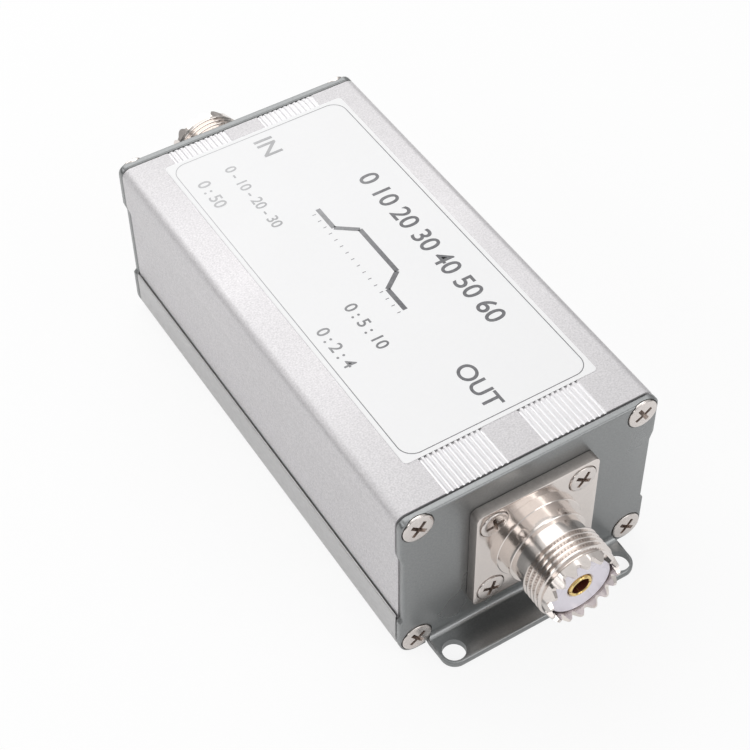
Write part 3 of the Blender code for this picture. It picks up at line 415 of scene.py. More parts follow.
def add_path(name, points, closed):
    """Line of vertices, each extruded from the one before. It is left in edit mode."""
    clear_selection()
    bpy.ops.mesh.primitive_plane_add(size=MM)
    piece = name_piece(name)
    edit(piece)
    bpy.ops.mesh.merge(type="CENTER")
    points = [Vector(point) for point in points]
    bpy.ops.transform.translate(value=points[0])
    for start, end in zip(points, points[1:]):
        bpy.ops.mesh.extrude_region_move(TRANSFORM_OT_translate={"value": end - start})
    if closed:
        pick(piece, "VERT", lambda v: min((v.co - points[0]).length, (v.co - points[-1]).length) < NEAR)
        bpy.ops.mesh.edge_face_add()
    bpy.ops.mesh.select_all(action="SELECT")
    return piece


def close_up():
    """Merge doubles and point every face outwards, then leave edit mode."""
    bpy.ops.mesh.select_all(action="SELECT")
    bpy.ops.mesh.remove_doubles(threshold=NEAR / 10)
    bpy.ops.mesh.normals_make_consistent()
    clear_selection()


def add_turned(name, profile, steps=48, closed=False):
    """Piece spun about Z from a profile of radii and heights."""
    piece = add_path(name, [(radius, 0, height) for radius, height in profile], closed)
    bpy.ops.mesh.spin(steps=steps, angle=2 * math.pi, center=(0, 0, 0), axis=(0, 0, 1))
    close_up()
    return piece


def add_prism(name, points, depth):
    """Piece extruded from an outline."""
    piece = add_path(name, points, True)
    bpy.ops.mesh.edge_face_add()
    bpy.ops.mesh.extrude_region_move(TRANSFORM_OT_translate={"value": depth})
    close_up()
    return piece


def apply_modifier(piece, kind, **values):
    """Add a modifier to a piece, set its values and apply it."""
    use(piece)
    bpy.ops.object.modifier_add(type=kind)
    modifier = piece.modifiers[-1]
    for key, value in values.items():
        setattr(modifier, key, value)
    bpy.ops.object.modifier_apply(modifier=modifier.name)


def combine(piece, tool, operation):
    """Join a solid to a piece or cut it away, and drop the tool."""
    apply_modifier(piece, "BOOLEAN", operation=operation, solver="EXACT", object=tool)
    drop(tool)
    return piece


def cut(piece, tool):
    """Cut a tool's shape out of a piece."""
    return combine(piece, tool, "DIFFERENCE")


def joined(name, pieces):
    """Several separate solids as one piece."""
    use(pieces[0])
    for piece in pieces:
        piece.select_set(True)
    bpy.ops.object.join()
    return name_piece(name)


def copied(piece, name, location=(0, 0, 0), turn=(0, 0, 0)):
    """Copy of a piece with its own mesh, in its own place."""
    use(piece)
    bpy.ops.object.duplicate()
    return place(name_piece(name), location, turn)


def at_both_ends(model, name, location=(0, 0, 0), turn=(0, 0, 0)):
    """Copies of a model at both ends, with their prefixes. The model is dropped."""
    copies = []
    for prefix, angle in ENDS:
        piece = copied(model, prefix + name, location, turn)
        copies.append((prefix, place(piece, turn=(0, 0, angle))))
    drop(model)
    return copies


def bevel(width, segments):
    """Round the selected edges."""
    bpy.ops.mesh.bevel(offset=width, segments=segments)


def arc(across, up, radius, start, end, steps):
    """Points of an arc, with its angles in degrees."""
    angles = [math.radians(start + (end - start) * i / steps) for i in range(steps + 1)]
    return [(across + radius * math.cos(angle), up + radius * math.sin(angle)) for angle in angles]


def finished(piece, material, slot, *nodes):
    """Smooth a piece, give it its finish, if named, and say what it rides on and stands for."""
    use(piece)
    bpy.ops.object.shade_smooth_by_angle(angle=SMOOTH_ANGLE)
    if material:
        piece.data.materials.clear()
        piece.data.materials.append(bpy.data.materials[material])
    clear_selection()
    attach(piece, BODY)
    if nodes:
        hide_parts(*nodes)


def refinish(piece, material, test):
    """Give the faces whose middle and normal pass a test a second finish."""
    piece.data.materials.append(bpy.data.materials[material])
    edit(piece)
    pick(piece, "FACE", lambda face: test(face.calc_center_median(), face.normal))
    piece.active_material_index = 1
    bpy.ops.object.material_slot_assign()
    clear_selection()


# Finishes

def set_inputs(tree, node, values):
    """Give inputs of a node their values, or links to them."""
    for key, value in values.items():
        if isinstance(value, bpy.types.NodeSocket):
            tree.links.new(value, node.inputs[key])
        else:
            node.inputs[key].default_value = value


def add_node(tree, kind, values=None, **settings):
    """Outputs of a new shader node with its settings and inputs."""
    node = tree.nodes.new("ShaderNode" + kind)
    for key, value in settings.items():
        setattr(node, key, value)
    set_inputs(tree, node, values or {})
    return node.outputs


def add_math(tree, operation, *values, clamp=False):
    """Result of a calculation with numbers or outputs."""
    return add_node(tree, "Math", dict(enumerate(values)), operation=operation, use_clamp=clamp)["Value"]


def add_range(tree, value, low, high, start=0.0, end=1.0):
    """Value that runs from low to high while another runs from start to end."""
    values = {"Value": value, "From Min": start, "From Max": end, "To Min": low, "To Max": high}
    return add_node(tree, "MapRange", values)["Result"]


def add_group(tree, name, **inputs):
    """Outputs of a node group with its inputs."""
    return add_node(tree, "Group", inputs, node_tree=bpy.data.node_groups[name])


def add_noise(tree, spot, density, **inputs):
    """Outputs of a noise texture."""
    return add_node(tree, "TexNoise", {"Vector": spot, "Scale": density, **inputs})


def add_spot(tree, kind="Object"):
    """Output with the place on the piece."""
    return add_node(tree, "TexCoord")[kind]


def mixed(tree, factor, first, second):
    """Mix of two colours by a factor."""
    return add_node(tree, "Mix", {0: factor, 6: first, 7: second}, data_type="RGBA")[2]


def new_group(name, outputs, **inputs):
    """Empty node group, the outputs of its input node, and its output node."""
    group = bpy.data.node_groups.new(name, "ShaderNodeTree")
    for label, value in inputs.items():
        kind = "NodeSocketVector" if isinstance(value, tuple) else "NodeSocketFloat"
        group.interface.new_socket(label, in_out="INPUT", socket_type=kind).default_value = value
    for label in outputs:
        group.interface.new_socket(label, in_out="OUTPUT", socket_type="NodeSocketFloat")
    return group, group.nodes.new("NodeGroupInput").outputs, group.nodes.new("NodeGroupOutput")


def make_grain_group():
    """Group for a fine grain, such as a blasted or moulded surface has."""
    group, given, result = new_group(
        "fine_grain", ("Mask", "Height"), Density=2500.0, Stretch=(1, 1, 1), Contrast=1.0)
    stretched = add_node(group, "VectorMath", {0: add_spot(group), 1: given["Stretch"]}, operation="MULTIPLY")
    noise = add_noise(group, stretched["Vector"], given["Density"], Detail=3.0, Roughness=0.6)["Fac"]
    scaled = add_math(group, "MULTIPLY", add_math(group, "SUBTRACT", noise, 0.5), given["Contrast"])
    set_inputs(group, result, {"Mask": add_math(group, "ADD", scaled, 0.5, clamp=True), "Height": noise})


def make_patch_group():
    """Group for broad patches of handling and wear."""
    group, given, result = new_group("broad_patches", ("Value",), Density=60.0, Low=0.0, High=1.0)
    noise = add_noise(group, add_spot(group), given["Density"], Detail=4.0, Roughness=0.55, Distortion=0.4)
    set_inputs(group, result, {"Value": add_range(group, noise["Fac"], given["Low"], given["High"], 0.3, 0.7)})


def make_scratch_group():
    """Group for thin random scratches."""
    group, given, result = new_group("thin_scratches", ("Mask",), Density=90.0, Amount=0.5)
    spot = add_spot(group)
    warp = add_noise(group, spot, given["Density"], Detail=2.0)
    bent = add_node(group, "VectorMath", {0: warp["Color"], 1: (0.012, 0.012, 0.012), 2: spot},
                    operation="MULTIPLY_ADD")
    cells = add_node(group, "TexVoronoi", {"Vector": bent["Vector"], "Scale": given["Density"]},
                     feature="DISTANCE_TO_EDGE")
    set_inputs(group, result, {"Mask": add_range(group, cells["Distance"], given["Amount"], 0.0, 0.0, 0.02)})


def new_material(name):
    """Tree and shader of a new material, and the material."""
    material = bpy.data.materials.new(name)
    material.use_nodes = True
    return material, material.node_tree, material.node_tree.nodes["Principled BSDF"]


def rgba(value, share=1.0):
    """Colour with its alpha, scaled by a share and kept below 1."""
    return (*(min(1.0, channel * share) for channel in value), 1.0)


def make_finish(name, base, metallic, low, high, density, contrast, stretch, dark, light, bump, depth, patches,
                scratches, coat):
    """Finish whose colour, roughness and surface vary with a fine grain, broad patches and thin scratches."""
    _, tree, shader = new_material(name)
    grain = add_group(tree, "fine_grain", Density=density, Stretch=(1.0, stretch, 1.0), Contrast=contrast)
    patch = add_group(tree, "broad_patches", Density=patches, Low=low, High=high)
    tone = mixed(tree, grain["Mask"], rgba(base, dark), rgba(base, light))
    if scratches:
        scratch = add_group(tree, "thin_scratches", Amount=scratches)
        tone = mixed(tree, scratch["Mask"], tone, rgba(base, light * 1.1))
    relief = add_node(tree, "Bump", {"Strength": bump, "Distance": depth * MM, "Height": grain["Height"]})
    set_inputs(tree, shader, {"Base Color": tone, "Metallic": metallic, "Roughness": patch["Value"],
                              "Normal": relief["Normal"]})
    if coat:
        set_inputs(tree, shader, {"Coat Weight": coat, "Coat Roughness": 0.12})


def make_ink(name, base):
    """Printing ink, worn in a fine grain, and paler towards the far left of the label, where a painted glare lies
    over it.
    """
    _, tree, shader = new_material(name)
    parts = add_node(tree, "SeparateXYZ", {0: add_spot(tree)})
    lean = add_math(tree, "MULTIPLY_ADD", parts["X"], -1.6, parts["Y"])
    # Painted glare: the print pales towards the far left, as under the film's sheen.
    painted_glare = add_range(tree, lean, 0.0, 0.55, -10 * MM, 48 * MM)
    grain = add_group(tree, "fine_grain", Density=1800.0, Contrast=1.6)
    wear_and_glare = add_math(tree, "MULTIPLY_ADD", grain["Mask"], 0.18, painted_glare, clamp=True)
    set_inputs(tree, shader, {"Base Color": mixed(tree, wear_and_glare, rgba(base), INK_WEAR_AND_GLARE), "Roughness": 0.5})


class FinishBuilder(bpy.types.Operator):
    """Make all the finishes of the filter"""

    bl_idname = "filter.finishes"
    bl_label = "Finishes"

    def execute(self, context):
        finish = context.scene.filter_finish
        make_grain_group()
        make_patch_group()
        make_scratch_group()
        for name, base, *values in FINISHES:
            make_finish(name, getattr(finish, base) if isinstance(base, str) else base, *values)
        make_ink("label_ink", finish.ink)
        return {"FINISHED"}


# Stage

def set_turn(thing, turn):
    """Give an object its turn as a quaternion."""
    thing.rotation_mode = "QUATERNION"
    thing.rotation_quaternion = turn


def add_stage_plane(name, size, location, turn=(1, 0, 0, 0)):
    """Flat piece of the stage, with the tree and the shader of its material."""
    clear_selection()
    bpy.ops.mesh.primitive_plane_add(size=1, location=location)
    plane = name_piece(name)
    plane.scale = (*size, 1)
    set_turn(plane, turn)
    bpy.ops.object.transform_apply()
    material, tree, shader = new_material(name)
    plane.data.materials.append(material)
    return plane, tree, shader


def add_mirrored(tree, path):
    """Output that is 1 for what metal and glass show."""
    return add_math(tree, "MAXIMUM", path["Is Glossy Ray"], path["Is Transmission Ray"])


class StageBuilder(bpy.types.Operator):
    """Make the floor, the lights and the camera"""

    bl_idname = "filter.stage"
    bl_label = "Stage"

    def execute(self, context):
        studio = context.scene.filter_studio
        self.make_camera(context, studio)
        self.make_floor(studio)
        self.make_card("dark_card", (1.5, 0.72), (-0.6, 0.0, 0.25), 0.1)
        self.make_card("bright_card", (0.5, 0.36), (0.06, -0.34, 0.49), 1.3)
        self.make_world(context, studio)
        self.make_light("top_light", studio.top_light, (0.66, 0.66), (0.06, 0.42, 0.45))
        self.make_light("front_light", studio.front_light, (0.3, 0.3), (0.22, -0.45, 0.34))
        self.make_light("left_light", studio.left_light, (1.2, 0.15), (-0.44, 0.0, 0.32))
        context.scene.view_settings.view_transform = "Standard"
        return {"FINISHED"}

    def make_camera(self, context, studio):
        """Camera at its angle and distance from its target."""
        clear_selection()
        bpy.ops.object.camera_add()
        camera = context.object
        camera.name = "photo_camera"
        camera.data.lens = studio.lens
        camera.data.clip_start = 10 * MM
        camera.data.clip_end = 10.0
        level = math.cos(studio.elevation)
        back = Vector((math.sin(studio.azimuth) * level, -math.cos(studio.azimuth) * level,
                       math.sin(studio.elevation)))
        right = Vector((0, 0, 1)).cross(back).normalized()
        axes = Matrix((right, back.cross(right), back)).transposed()
        set_turn(camera, (axes @ Matrix.Rotation(studio.roll, 3, "Z")).to_quaternion())
        camera.location = Vector(studio.target) + back * studio.distance
        context.scene.camera = camera

    def make_card(self, name, size, location, glow):
        """Plain card that only shows in reflections, as in a studio for bright metal."""
        turn = (-Vector(location)).to_track_quat("Z", "Y")
        card, tree, shader = add_stage_plane(name, size, location, turn)
        set_inputs(tree, shader, {"Base Color": BLACK, "Specular IOR Level": 0.0, "Emission Color": WHITE,
                                  "Emission Strength": glow})
        card.visible_camera = card.visible_diffuse = card.visible_shadow = False

    def make_floor(self, studio):
        """White floor that the filter stands on."""
        _, tree, shader = add_stage_plane("floor", (3.0, 3.0), (0, 0, -0.05 * MM))
        noise = add_noise(tree, add_spot(tree), 6.0, Detail=2.0)
        tone = mixed(tree, noise["Fac"], (0.99, 0.99, 0.99, 1), WHITE)
        set_inputs(tree, shader, {"Base Color": tone, "Roughness": 0.9, "Specular IOR Level": 0.0})
        path = add_node(tree, "LightPath")
        seen = add_math(tree, "MULTIPLY_ADD", add_mirrored(tree, path), studio.floor_gloss, path["Is Camera Ray"])
        lift = add_math(tree, "MULTIPLY", seen, studio.floor_lift)
        glow = add_node(tree, "Emission", {"Color": WHITE, "Strength": 1.0})
        blend = add_node(tree, "MixShader", {0: lift, 1: shader.outputs["BSDF"], 2: glow["Emission"]})
        set_inputs(tree, tree.nodes["Material Output"], {"Surface": blend["Shader"]})

    def make_world(self, context, studio):
        """White background with a softer light on the filter."""
        world = bpy.data.worlds.new("studio")
        world.use_nodes = True
        context.scene.world = world
        tree = world.node_tree
        path = add_node(tree, "LightPath")
        height = add_node(tree, "SeparateXYZ", {0: add_spot(tree, "Generated")})["Z"]
        shown = add_range(tree, height, studio.horizon, studio.gloss_sky, 0.1, 0.75)
        dim = add_range(tree, add_mirrored(tree, path), studio.sky, shown)
        strength = add_range(tree, path["Is Camera Ray"], dim, 1.0)
        set_inputs(tree, tree.nodes["Background"], {"Color": WHITE, "Strength": strength})

    def make_light(self, name, power, size, location):
        """Soft light that points at the filter."""
        clear_selection()
        bpy.ops.object.light_add(type="AREA", location=location)
        light = bpy.context.object
        light.name = name
        light.data.shape = "RECTANGLE"
        light.data.size, light.data.size_y = size
        light.data.energy = power
        set_turn(light, (-Vector(location)).to_track_quat("-Z", "Y"))


# Case

def case_values(case):
    """Half width, half length, top, top of the recess and lower end of the upper walls."""
    top = CASE_HIGH[2]
    return CASE_HIGH[0] - case.trim, CASE_HIGH[1], top, top - case.band - case.slope, case.seam - case.lap


def plate_face(scene):
    """Distance of the end plates' outer faces from the middle."""
    return CASE_HIGH[1] + scene.filter_case.gap + scene.filter_plate.thickness


def slice_across(heights):
    """Cut a piece in edit mode at several heights."""
    for height in heights:
        bpy.ops.mesh.select_all(action="SELECT")
        bpy.ops.mesh.bisect(plane_co=(0, 0, height), plane_no=(0, 0, 1))


def draw_in_sides(piece, side, low, high, distance):
    """Move the sides of a piece inwards between two heights."""
    for way in SIDES:
        pick(piece, "VERT", lambda v: near(v.co.x, way * side) and low - NEAR < v.co.z < high + NEAR)
        bpy.ops.transform.translate(value=(-way * distance, 0, 0))


def heal_ends(piece):
    """Make each flat end one face again."""
    for way in SIDES:
        pick(piece, "FACE", lambda f: f.normal.y * way > ALONG)
        bpy.ops.mesh.dissolve_faces()


def round_ends(piece, width, segments):
    """Round the outline of both flat ends of a piece."""
    ys = [vertex.co.y for vertex in bmesh.from_edit_mesh(piece.data).verts]
    low, high = min(ys), max(ys)
    pick(piece, "EDGE", lambda e: lies_at(e, 1, low) or lies_at(e, 1, high))
    bevel(width, segments)


def round_long_edges(piece, side, height, radius, segments):
    """Round the two edges that run along a piece at one height."""
    pick(piece, "EDGE", lambda e: runs_along(e, 1) and lies_at(e, 2, height)
         and near(abs(e.verts[0].co.x), side))
    bevel(radius, segments)


class UpperCaseBuilder(bpy.types.Operator):
    """Model the upper shell with its rib bands"""

    bl_idname = "filter.upper_case"
    bl_label = "Upper Case"

    def execute(self, context):
        case = context.scene.filter_case
        side, half, top, recess_top, wall_end = case_values(case)
        slope_ends = (recess_top + case.slope, recess_top)
        shell = add_block("upper_case", (-side, -half, wall_end), (side, half, top))
        edit(shell)
        slice_across(slope_ends)
        draw_in_sides(shell, side, wall_end, recess_top, case.recess)
        heal_ends(shell)
        round_long_edges(shell, side, top, case.top_round, 10)
        pick(shell, "EDGE", lambda e: runs_along(e, 1) and any(lies_at(e, 2, height) for height in slope_ends))
        bevel(case.groove_width, 3)
        round_ends(shell, case.rim, 2)
        inner = side - case.recess - case.side_wall
        cut(shell, add_block("cavity", (-inner, -half - THROUGH, wall_end - THROUGH),
                             (inner, half + THROUGH, top - case.top_wall)))
        cut(shell, self.make_groove_tool(case, half, top))
        finished(shell, "upper_case_satin", "upper_shell", "upper_shell")
        band_end = case.groove_start + case.grooves * case.groove_pitch
        # The rib bands get a lighter colour, a painted highlight for the light they catch.
        refinish(shell, "bright_ribs", lambda spot, normal: case.groove_start < abs(spot.x) < band_end
                 and spot.z > top - case.groove_depth - NEAR and abs(normal.y) < 0.5)
        return {"FINISHED"}

    def make_groove_tool(self, case, half, top):
        """Bars for every groove of both rib bands."""
        slope = (case.groove_width - case.groove_floor) / 2 / case.groove_depth
        wide = case.groove_floor + 4 * slope * case.groove_depth
        middle = case.groove_start + case.groove_width / 2
        floor = top - case.groove_depth
        bar = add_block("groove_tool", (middle - wide / 2, -half - THROUGH, floor),
                        (middle + wide / 2, half + THROUGH, top + case.groove_depth))
        edit(bar)
        pick(bar, "VERT", lambda v: near(v.co.z, floor))
        bpy.ops.transform.resize(value=(case.groove_floor / wide, 1, 1), center_override=(middle, 0, 0))
        apply_modifier(bar, "ARRAY", count=case.grooves, use_relative_offset=False, use_constant_offset=True,
                       constant_offset_displace=(case.groove_pitch, 0, 0))
        apply_modifier(bar, "MIRROR", use_mirror_merge=False)
        return bar


class LowerCaseBuilder(bpy.types.Operator):
    """Model the lower shell"""

    bl_idname = "filter.lower_case"
    bl_label = "Lower Case"

    def execute(self, context):
        case = context.scene.filter_case
        side, half, _, _, wall_end = case_values(case)
        tray = add_block("lower_case", (-side, -half, 0), (side, half, case.seam))
        edit(tray)
        round_long_edges(tray, side, 0, case.bottom_round, 12)
        round_long_edges(tray, side, case.seam, case.lip, 4)
        round_ends(tray, case.rim, 2)
        wall = side - case.recess
        for width, floor in ((wall - case.side_wall, case.floor_wall), (wall + case.gap, wall_end - case.gap)):
            cut(tray, add_block("cavity", (-width, -half - THROUGH, floor),
                                (width, half + THROUGH, case.seam + THROUGH)))
        finished(tray, "lower_case_satin", "lower_shell", "lower_shell")
        return {"FINISHED"}


# End plates

class EndPlateBuilder(bpy.types.Operator):
    """Model the end plates with their feet"""

    bl_idname = "filter.end_plates"
    bl_label = "End Plates"

    def execute(self, context):
        case = context.scene.filter_case
        plate = context.scene.filter_plate
        side, half, top, recess_top, _ = case_values(case)
        back = -(half + case.gap)
        face = back - plate.thickness
        sheet = add_block("end_plate", (-side, face, 0), (side, back, top))
        edit(sheet)
        round_long_edges(sheet, side, top, case.top_round, 10)
        round_long_edges(sheet, side, 0, case.bottom_round, 12)
        slice_across((recess_top + case.slope, recess_top, case.seam, case.seam - case.recess))
        draw_in_sides(sheet, side, case.seam, recess_top, case.recess)
        heal_ends(sheet)
        round_ends(sheet, plate.edge, 3)
        reach = plate.foot_side + plate.relief
        fold_top = plate.thickness + plate.fold + plate.relief
        cut(sheet, add_block("fold_room", (-reach, face - THROUGH, -THROUGH), (reach, back + THROUGH, fold_top)))
        combine(sheet, self.make_foot(plate, back), "UNION")
        cut(sheet, self.make_hole_tool(context.scene, face))
        for prefix, piece in at_both_ends(sheet, "_plate"):
            finished(piece, "plate_coating", "end_plate", prefix + "_end_plate")
        return {"FINISHED"}

    def make_foot(self, plate, back):
        """Fold and foot, with round corners and edges."""
        bend = plate.thickness + plate.fold
        overlap = plate.edge * 4
        out = plate.thickness + plate.foot_reach
        outline = [(0, bend + overlap), (plate.thickness, bend + overlap)]
        outline += arc(bend, bend, plate.fold, 180, 270, 10)
        outline += [(out, plate.thickness), (out, 0)]
        outline += arc(bend, bend, bend, 270, 180, 10)
        points = [(-plate.foot_side, back - across, up) for across, up in outline]
        foot = add_prism("foot", points, (2 * plate.foot_side, 0, 0))
        edit(foot)
        front = back - out
        pick(foot, "EDGE", lambda e: runs_along(e, 2) and lies_at(e, 1, front))
        bevel(plate.foot_corner, 10)
        pick(foot, "EDGE", lambda e: lies_at(e, 1, front) if runs_along(e, 0)
             else lies_at(e, 2, 0) or lies_at(e, 2, plate.thickness))
        bevel(plate.edge, 3)
        return foot

    def make_hole_tool(self, scene, face):
        """Cutters for all the holes of one plate."""
        plate = scene.filter_plate
        socket = scene.filter_socket
        screws = scene.filter_screws
        tools = []
        holes = [(plate.boss_hole, 0, socket.height)]
        holes += [(plate.screw_hole, x, socket.height + z) for x, z in flange_spots(socket)]
        for radius, x, z in holes:
            tools.append(add_rod("hole", radius, (x, face - THROUGH, z), (x, face + THROUGH, z)))
        sink = add_sink_tool(screws.plate_head, screws.plate_rim, plate.thickness, screws.plate_shank, screws.fit)
        for x, z in corner_spots(plate):
            tools.append(copied(sink, "countersink", (x, face, z), (QUARTER, 0, 0)))
        drop(sink)
        out = face - plate.hole_out
        for x in (-plate.hole_side, plate.hole_side):
            tools.append(add_rod("foot_hole", plate.foot_hole, (x, out, -THROUGH), (x, out, THROUGH)))
        return joined("holes", tools)


# Screws

def corner_spots(plate):
    """Places of an end plate's screws."""
    return [(x * plate.screw_side, z) for z in (plate.screw_top, plate.screw_bottom) for x in SIDES]


def flange_spots(socket):
    """Places of a flange's screws, from the socket's axis."""
    return [(x * socket.screw_offset, z * socket.screw_offset) for z in (1, -1) for x in SIDES]


def add_cross_tool(screws, top):
    """Cutter for a cross recess: a post with four arms, narrower below."""
    half = screws.recess_width / 2
    bottom = top - screws.recess_depth
    tool = add_block("cross_tool", (-half, -half, bottom), (half, half, top + 0.1 * MM))
    edit(tool)
    for axis in (0, 1):
        for way in SIDES:
            pick(tool, "FACE", lambda f: f.normal[axis] * way > 0.99 and near(f.calc_center_median()[1 - axis], 0)
                 and near(abs(f.calc_center_median()[axis]), half))
            step = [0, 0, 0]
            step[axis] = way * (screws.recess_reach - half)
            bpy.ops.mesh.extrude_region_move(TRANSFORM_OT_translate={"value": step})
    pick(tool, "VERT", lambda v: near(v.co.z, bottom))
    bpy.ops.transform.resize(value=(CROSS_TAPER, CROSS_TAPER, 1), center_override=(0, 0, bottom))
    close_up()
    return tool


def add_sink_tool(head, rim, depth, shank, fit):
    """Cutter for a countersunk hole, with an upright rim and a narrower bore below."""
    return add_turned("sink_tool", [(0, head), (head + fit, head), (head + fit, -rim), (shank + fit, -depth),
                                    (shank + fit, -THROUGH), (0, -THROUGH)], 64)


def add_screw(name, screws, head, rim, depth, shank, length):
    """Countersunk screw with a low dome and a cross recess, with painted shade in the recess."""
    edge = head - screws.edge
    shares = [i / DOME_STEPS for i in range(DOME_STEPS)]
    profile = [(edge * share, screws.dome * (1 - DOME_FALL * share ** 2)) for share in shares]
    profile += arc(edge, screws.dome * (1 - DOME_FALL) - screws.edge, screws.edge, 80, 0, 4)
    profile += [(head, -rim), (shank, -depth), (shank, -length), (0, -length)]
    screw = cut(add_turned(name, profile), add_cross_tool(screws, screws.dome))
    screw.data.materials.append(bpy.data.materials["screw_nickel"])
    # Painted shade: the walls and floor of the cross recess get a dark colour.
    refinish(screw, "dark_recess", lambda spot, normal: spot.xy.length < screws.recess_reach + NEAR
             and spot.z > -screws.recess_depth and (abs(normal.z) < 0.5 or spot.z < -0.5 * MM))
    return screw


def spread_screws(model, kind, node, face, spots, turns):
    """Copies of a screw at both ends, each with its own turn. The model is dropped."""
    for end, (prefix, angle) in enumerate(ENDS):
        for i, (x, z) in enumerate(spots):
            screw = copied(model, f"{prefix}_{kind}_screw_{i + 1}", turn=(0, 0, turns[4 * end + i]))
            place(screw, (x, -face, z), (QUARTER, 0, 0))
            place(screw, turn=(0, 0, angle))
            finished(screw, None, "screw", f"{prefix}_{node}_screw_{i + 1}")
    drop(model)


class CornerScrewBuilder(bpy.types.Operator):
    """Model the countersunk screws of the end plates"""

    bl_idname = "filter.corner_screws"
    bl_label = "Corner Screws"

    turns = (0.87, 0.57, 0.65, 0.9, 0.5, 0.1, 0.9, 0.6)

    def execute(self, context):
        plate = context.scene.filter_plate
        screws = context.scene.filter_screws
        model = add_screw("corner_screw", screws, screws.plate_head, screws.plate_rim, plate.thickness,
                          screws.plate_shank, screws.plate_length)
        spread_screws(model, "corner", "plate", plate_face(context.scene), corner_spots(plate), self.turns)
        return {"FINISHED"}


class FlangeScrewBuilder(bpy.types.Operator):
    """Model the countersunk screws of the socket flanges"""

    bl_idname = "filter.flange_screws"
    bl_label = "Flange Screws"

    turns = (0.15, 0.95, 1.2, 0.4, 0.9, 0.3, 0.05, 0.7)

    def execute(self, context):
        socket = context.scene.filter_socket
        screws = context.scene.filter_screws
        model = add_screw("flange_screw", screws, screws.flange_head, screws.flange_rim,
                          screws.flange_rim + screws.flange_head - screws.flange_shank,
                          screws.flange_shank, screws.flange_length)
        face = plate_face(context.scene) + context.scene.filter_case.gap + socket.flange_thickness
        spots = [(x, socket.height + z) for x, z in flange_spots(socket)]
        spread_screws(model, "socket", "flange", face, spots, self.turns)
        return {"FINISHED"}


# Sockets

class SocketBuilder(bpy.types.Operator):
    """Model the socket bodies with their threads and teeth"""

    bl_idname = "filter.sockets"
    bl_label = "Sockets"

    def execute(self, context):
        socket = context.scene.filter_socket
        screws = context.scene.filter_screws
        front = context.scene.filter_case.gap + socket.flange_thickness
        barrel = self.make_barrel(socket)
        combine(barrel, self.make_thread(socket), "UNION")
        combine(barrel, self.make_flange(socket, front), "UNION")
        sink = add_sink_tool(screws.flange_head, screws.flange_rim,
                             screws.flange_rim + screws.flange_head - screws.flange_shank,
                             screws.flange_shank, screws.fit)
        tools = [copied(sink, "countersink", (x, y, front)) for x, y in flange_spots(socket)]
        drop(sink)
        cut(barrel, joined("holes", tools))
        face = plate_face(context.scene)
        edge = socket.flange / 2 - socket.flange_corner
        for prefix, piece in at_both_ends(barrel, "_socket", (0, -face, socket.height), (QUARTER, 0, 0)):
            finished(piece, "bright_nickel", "nickel", prefix + "_socket_body")
            refinish(piece, "stamped_edge", lambda spot, normal: abs(normal.y) < 0.6
                     and face + SNUG < abs(spot.y) < face + front - SNUG
                     and max(abs(spot.x), abs(spot.z - socket.height)) > edge)
        return {"FINISHED"}

    def make_barrel(self, socket):
        """Barrel with its collar, rings, neck, rim and teeth."""
        ease = 0.12 * MM
        seat = socket.flange_thickness
        barrel = add_turned("socket", [
            (socket.bore, socket.tip), (socket.rim, socket.tip), (socket.rim, socket.rim_start + ease),
            (socket.neck, socket.rim_start - 2 * ease), (socket.neck, socket.ring_end),
            (socket.ring - ease, socket.ring_end), (socket.ring, socket.ring_end - ease),
            (socket.ring, socket.shoulder_end + ease), (socket.ring - ease, socket.shoulder_end),
            (socket.shoulder, socket.shoulder_end), (socket.shoulder, socket.collar_end),
            (socket.collar - ease, socket.collar_end), (socket.collar, socket.collar_end - ease),
            (socket.collar, seat), (socket.boss, seat), (socket.boss, socket.boss_end),
            (socket.boss_bore, socket.boss_end), (socket.boss_bore, socket.bore_floor),
            (socket.bore, socket.bore_floor)], socket.facets, closed=True)
        edit(barrel)
        columns = socket.facets // socket.teeth
        middle = (socket.rim + socket.bore) / 2
        for distance, share in enumerate(TOOTH_SHAPE[:columns // 2]):
            def on_step(vertex):
                if not near(vertex.co.z, socket.tip):
                    return False
                step = round(math.atan2(vertex.co.y, vertex.co.x) / (2 * math.pi) * socket.facets) % columns
                return min(step, columns - step) == distance
            pick(barrel, "VERT", on_step)
            bpy.ops.transform.translate(value=(0, 0, share * socket.tooth_height))
            level = socket.tip + share * socket.tooth_height
            for way, size in ((1, 1 - share * 0.35 * MM / socket.rim), (-1, 1 + share * 0.15 * MM / socket.bore)):
                pick(barrel, "VERT", lambda v: near(v.co.z, level) and way * (v.co.xy.length - middle) > 0)
                bpy.ops.transform.resize(value=(size, size, 1), center_override=(0, 0, level))
        return barrel

    def make_thread(self, socket):
        """Helical ridge of the thread, its foot sunk into the barrel."""
        pitch = socket.thread_pitch
        foot = socket.neck - 0.25 * MM
        profile = [(foot, 0.03), (socket.neck, 0.07), (socket.thread, 0.43), (socket.thread, 0.57),
                   (socket.neck, 0.93), (foot, 0.97)]
        points = [(radius, 0, socket.thread_start + share * pitch) for radius, share in profile]
        ridge = add_path("thread", points, True)
        apply_modifier(ridge, "SCREW", screw_offset=pitch, iterations=socket.thread_turns, steps=72,
                       render_steps=72, use_merge_vertices=False)
        edit(ridge)
        bpy.ops.mesh.select_all(action="DESELECT")
        bpy.ops.mesh.select_mode(type="EDGE")
        bpy.ops.mesh.select_non_manifold()
        bpy.ops.mesh.fill_holes(sides=0)
        close_up()
        return ridge

    def make_flange(self, socket, top):
        """Square flange with round corners and edges."""
        half = socket.flange / 2
        flange = add_block("flange", (-half, -half, SNUG), (half, half, top))
        edit(flange)
        pick(flange, "EDGE", lambda e: runs_along(e, 2))
        bevel(socket.flange_corner, 8)
        pick(flange, "EDGE", lambda e: lies_at(e, 2, top) or lies_at(e, 2, SNUG))
        bevel(socket.flange_edge, 2)
        hollow = (socket.boss + socket.boss_bore) / 2
        return cut(flange, add_rod("bore", hollow, (0, 0, -THROUGH), (0, 0, THROUGH), socket.facets))


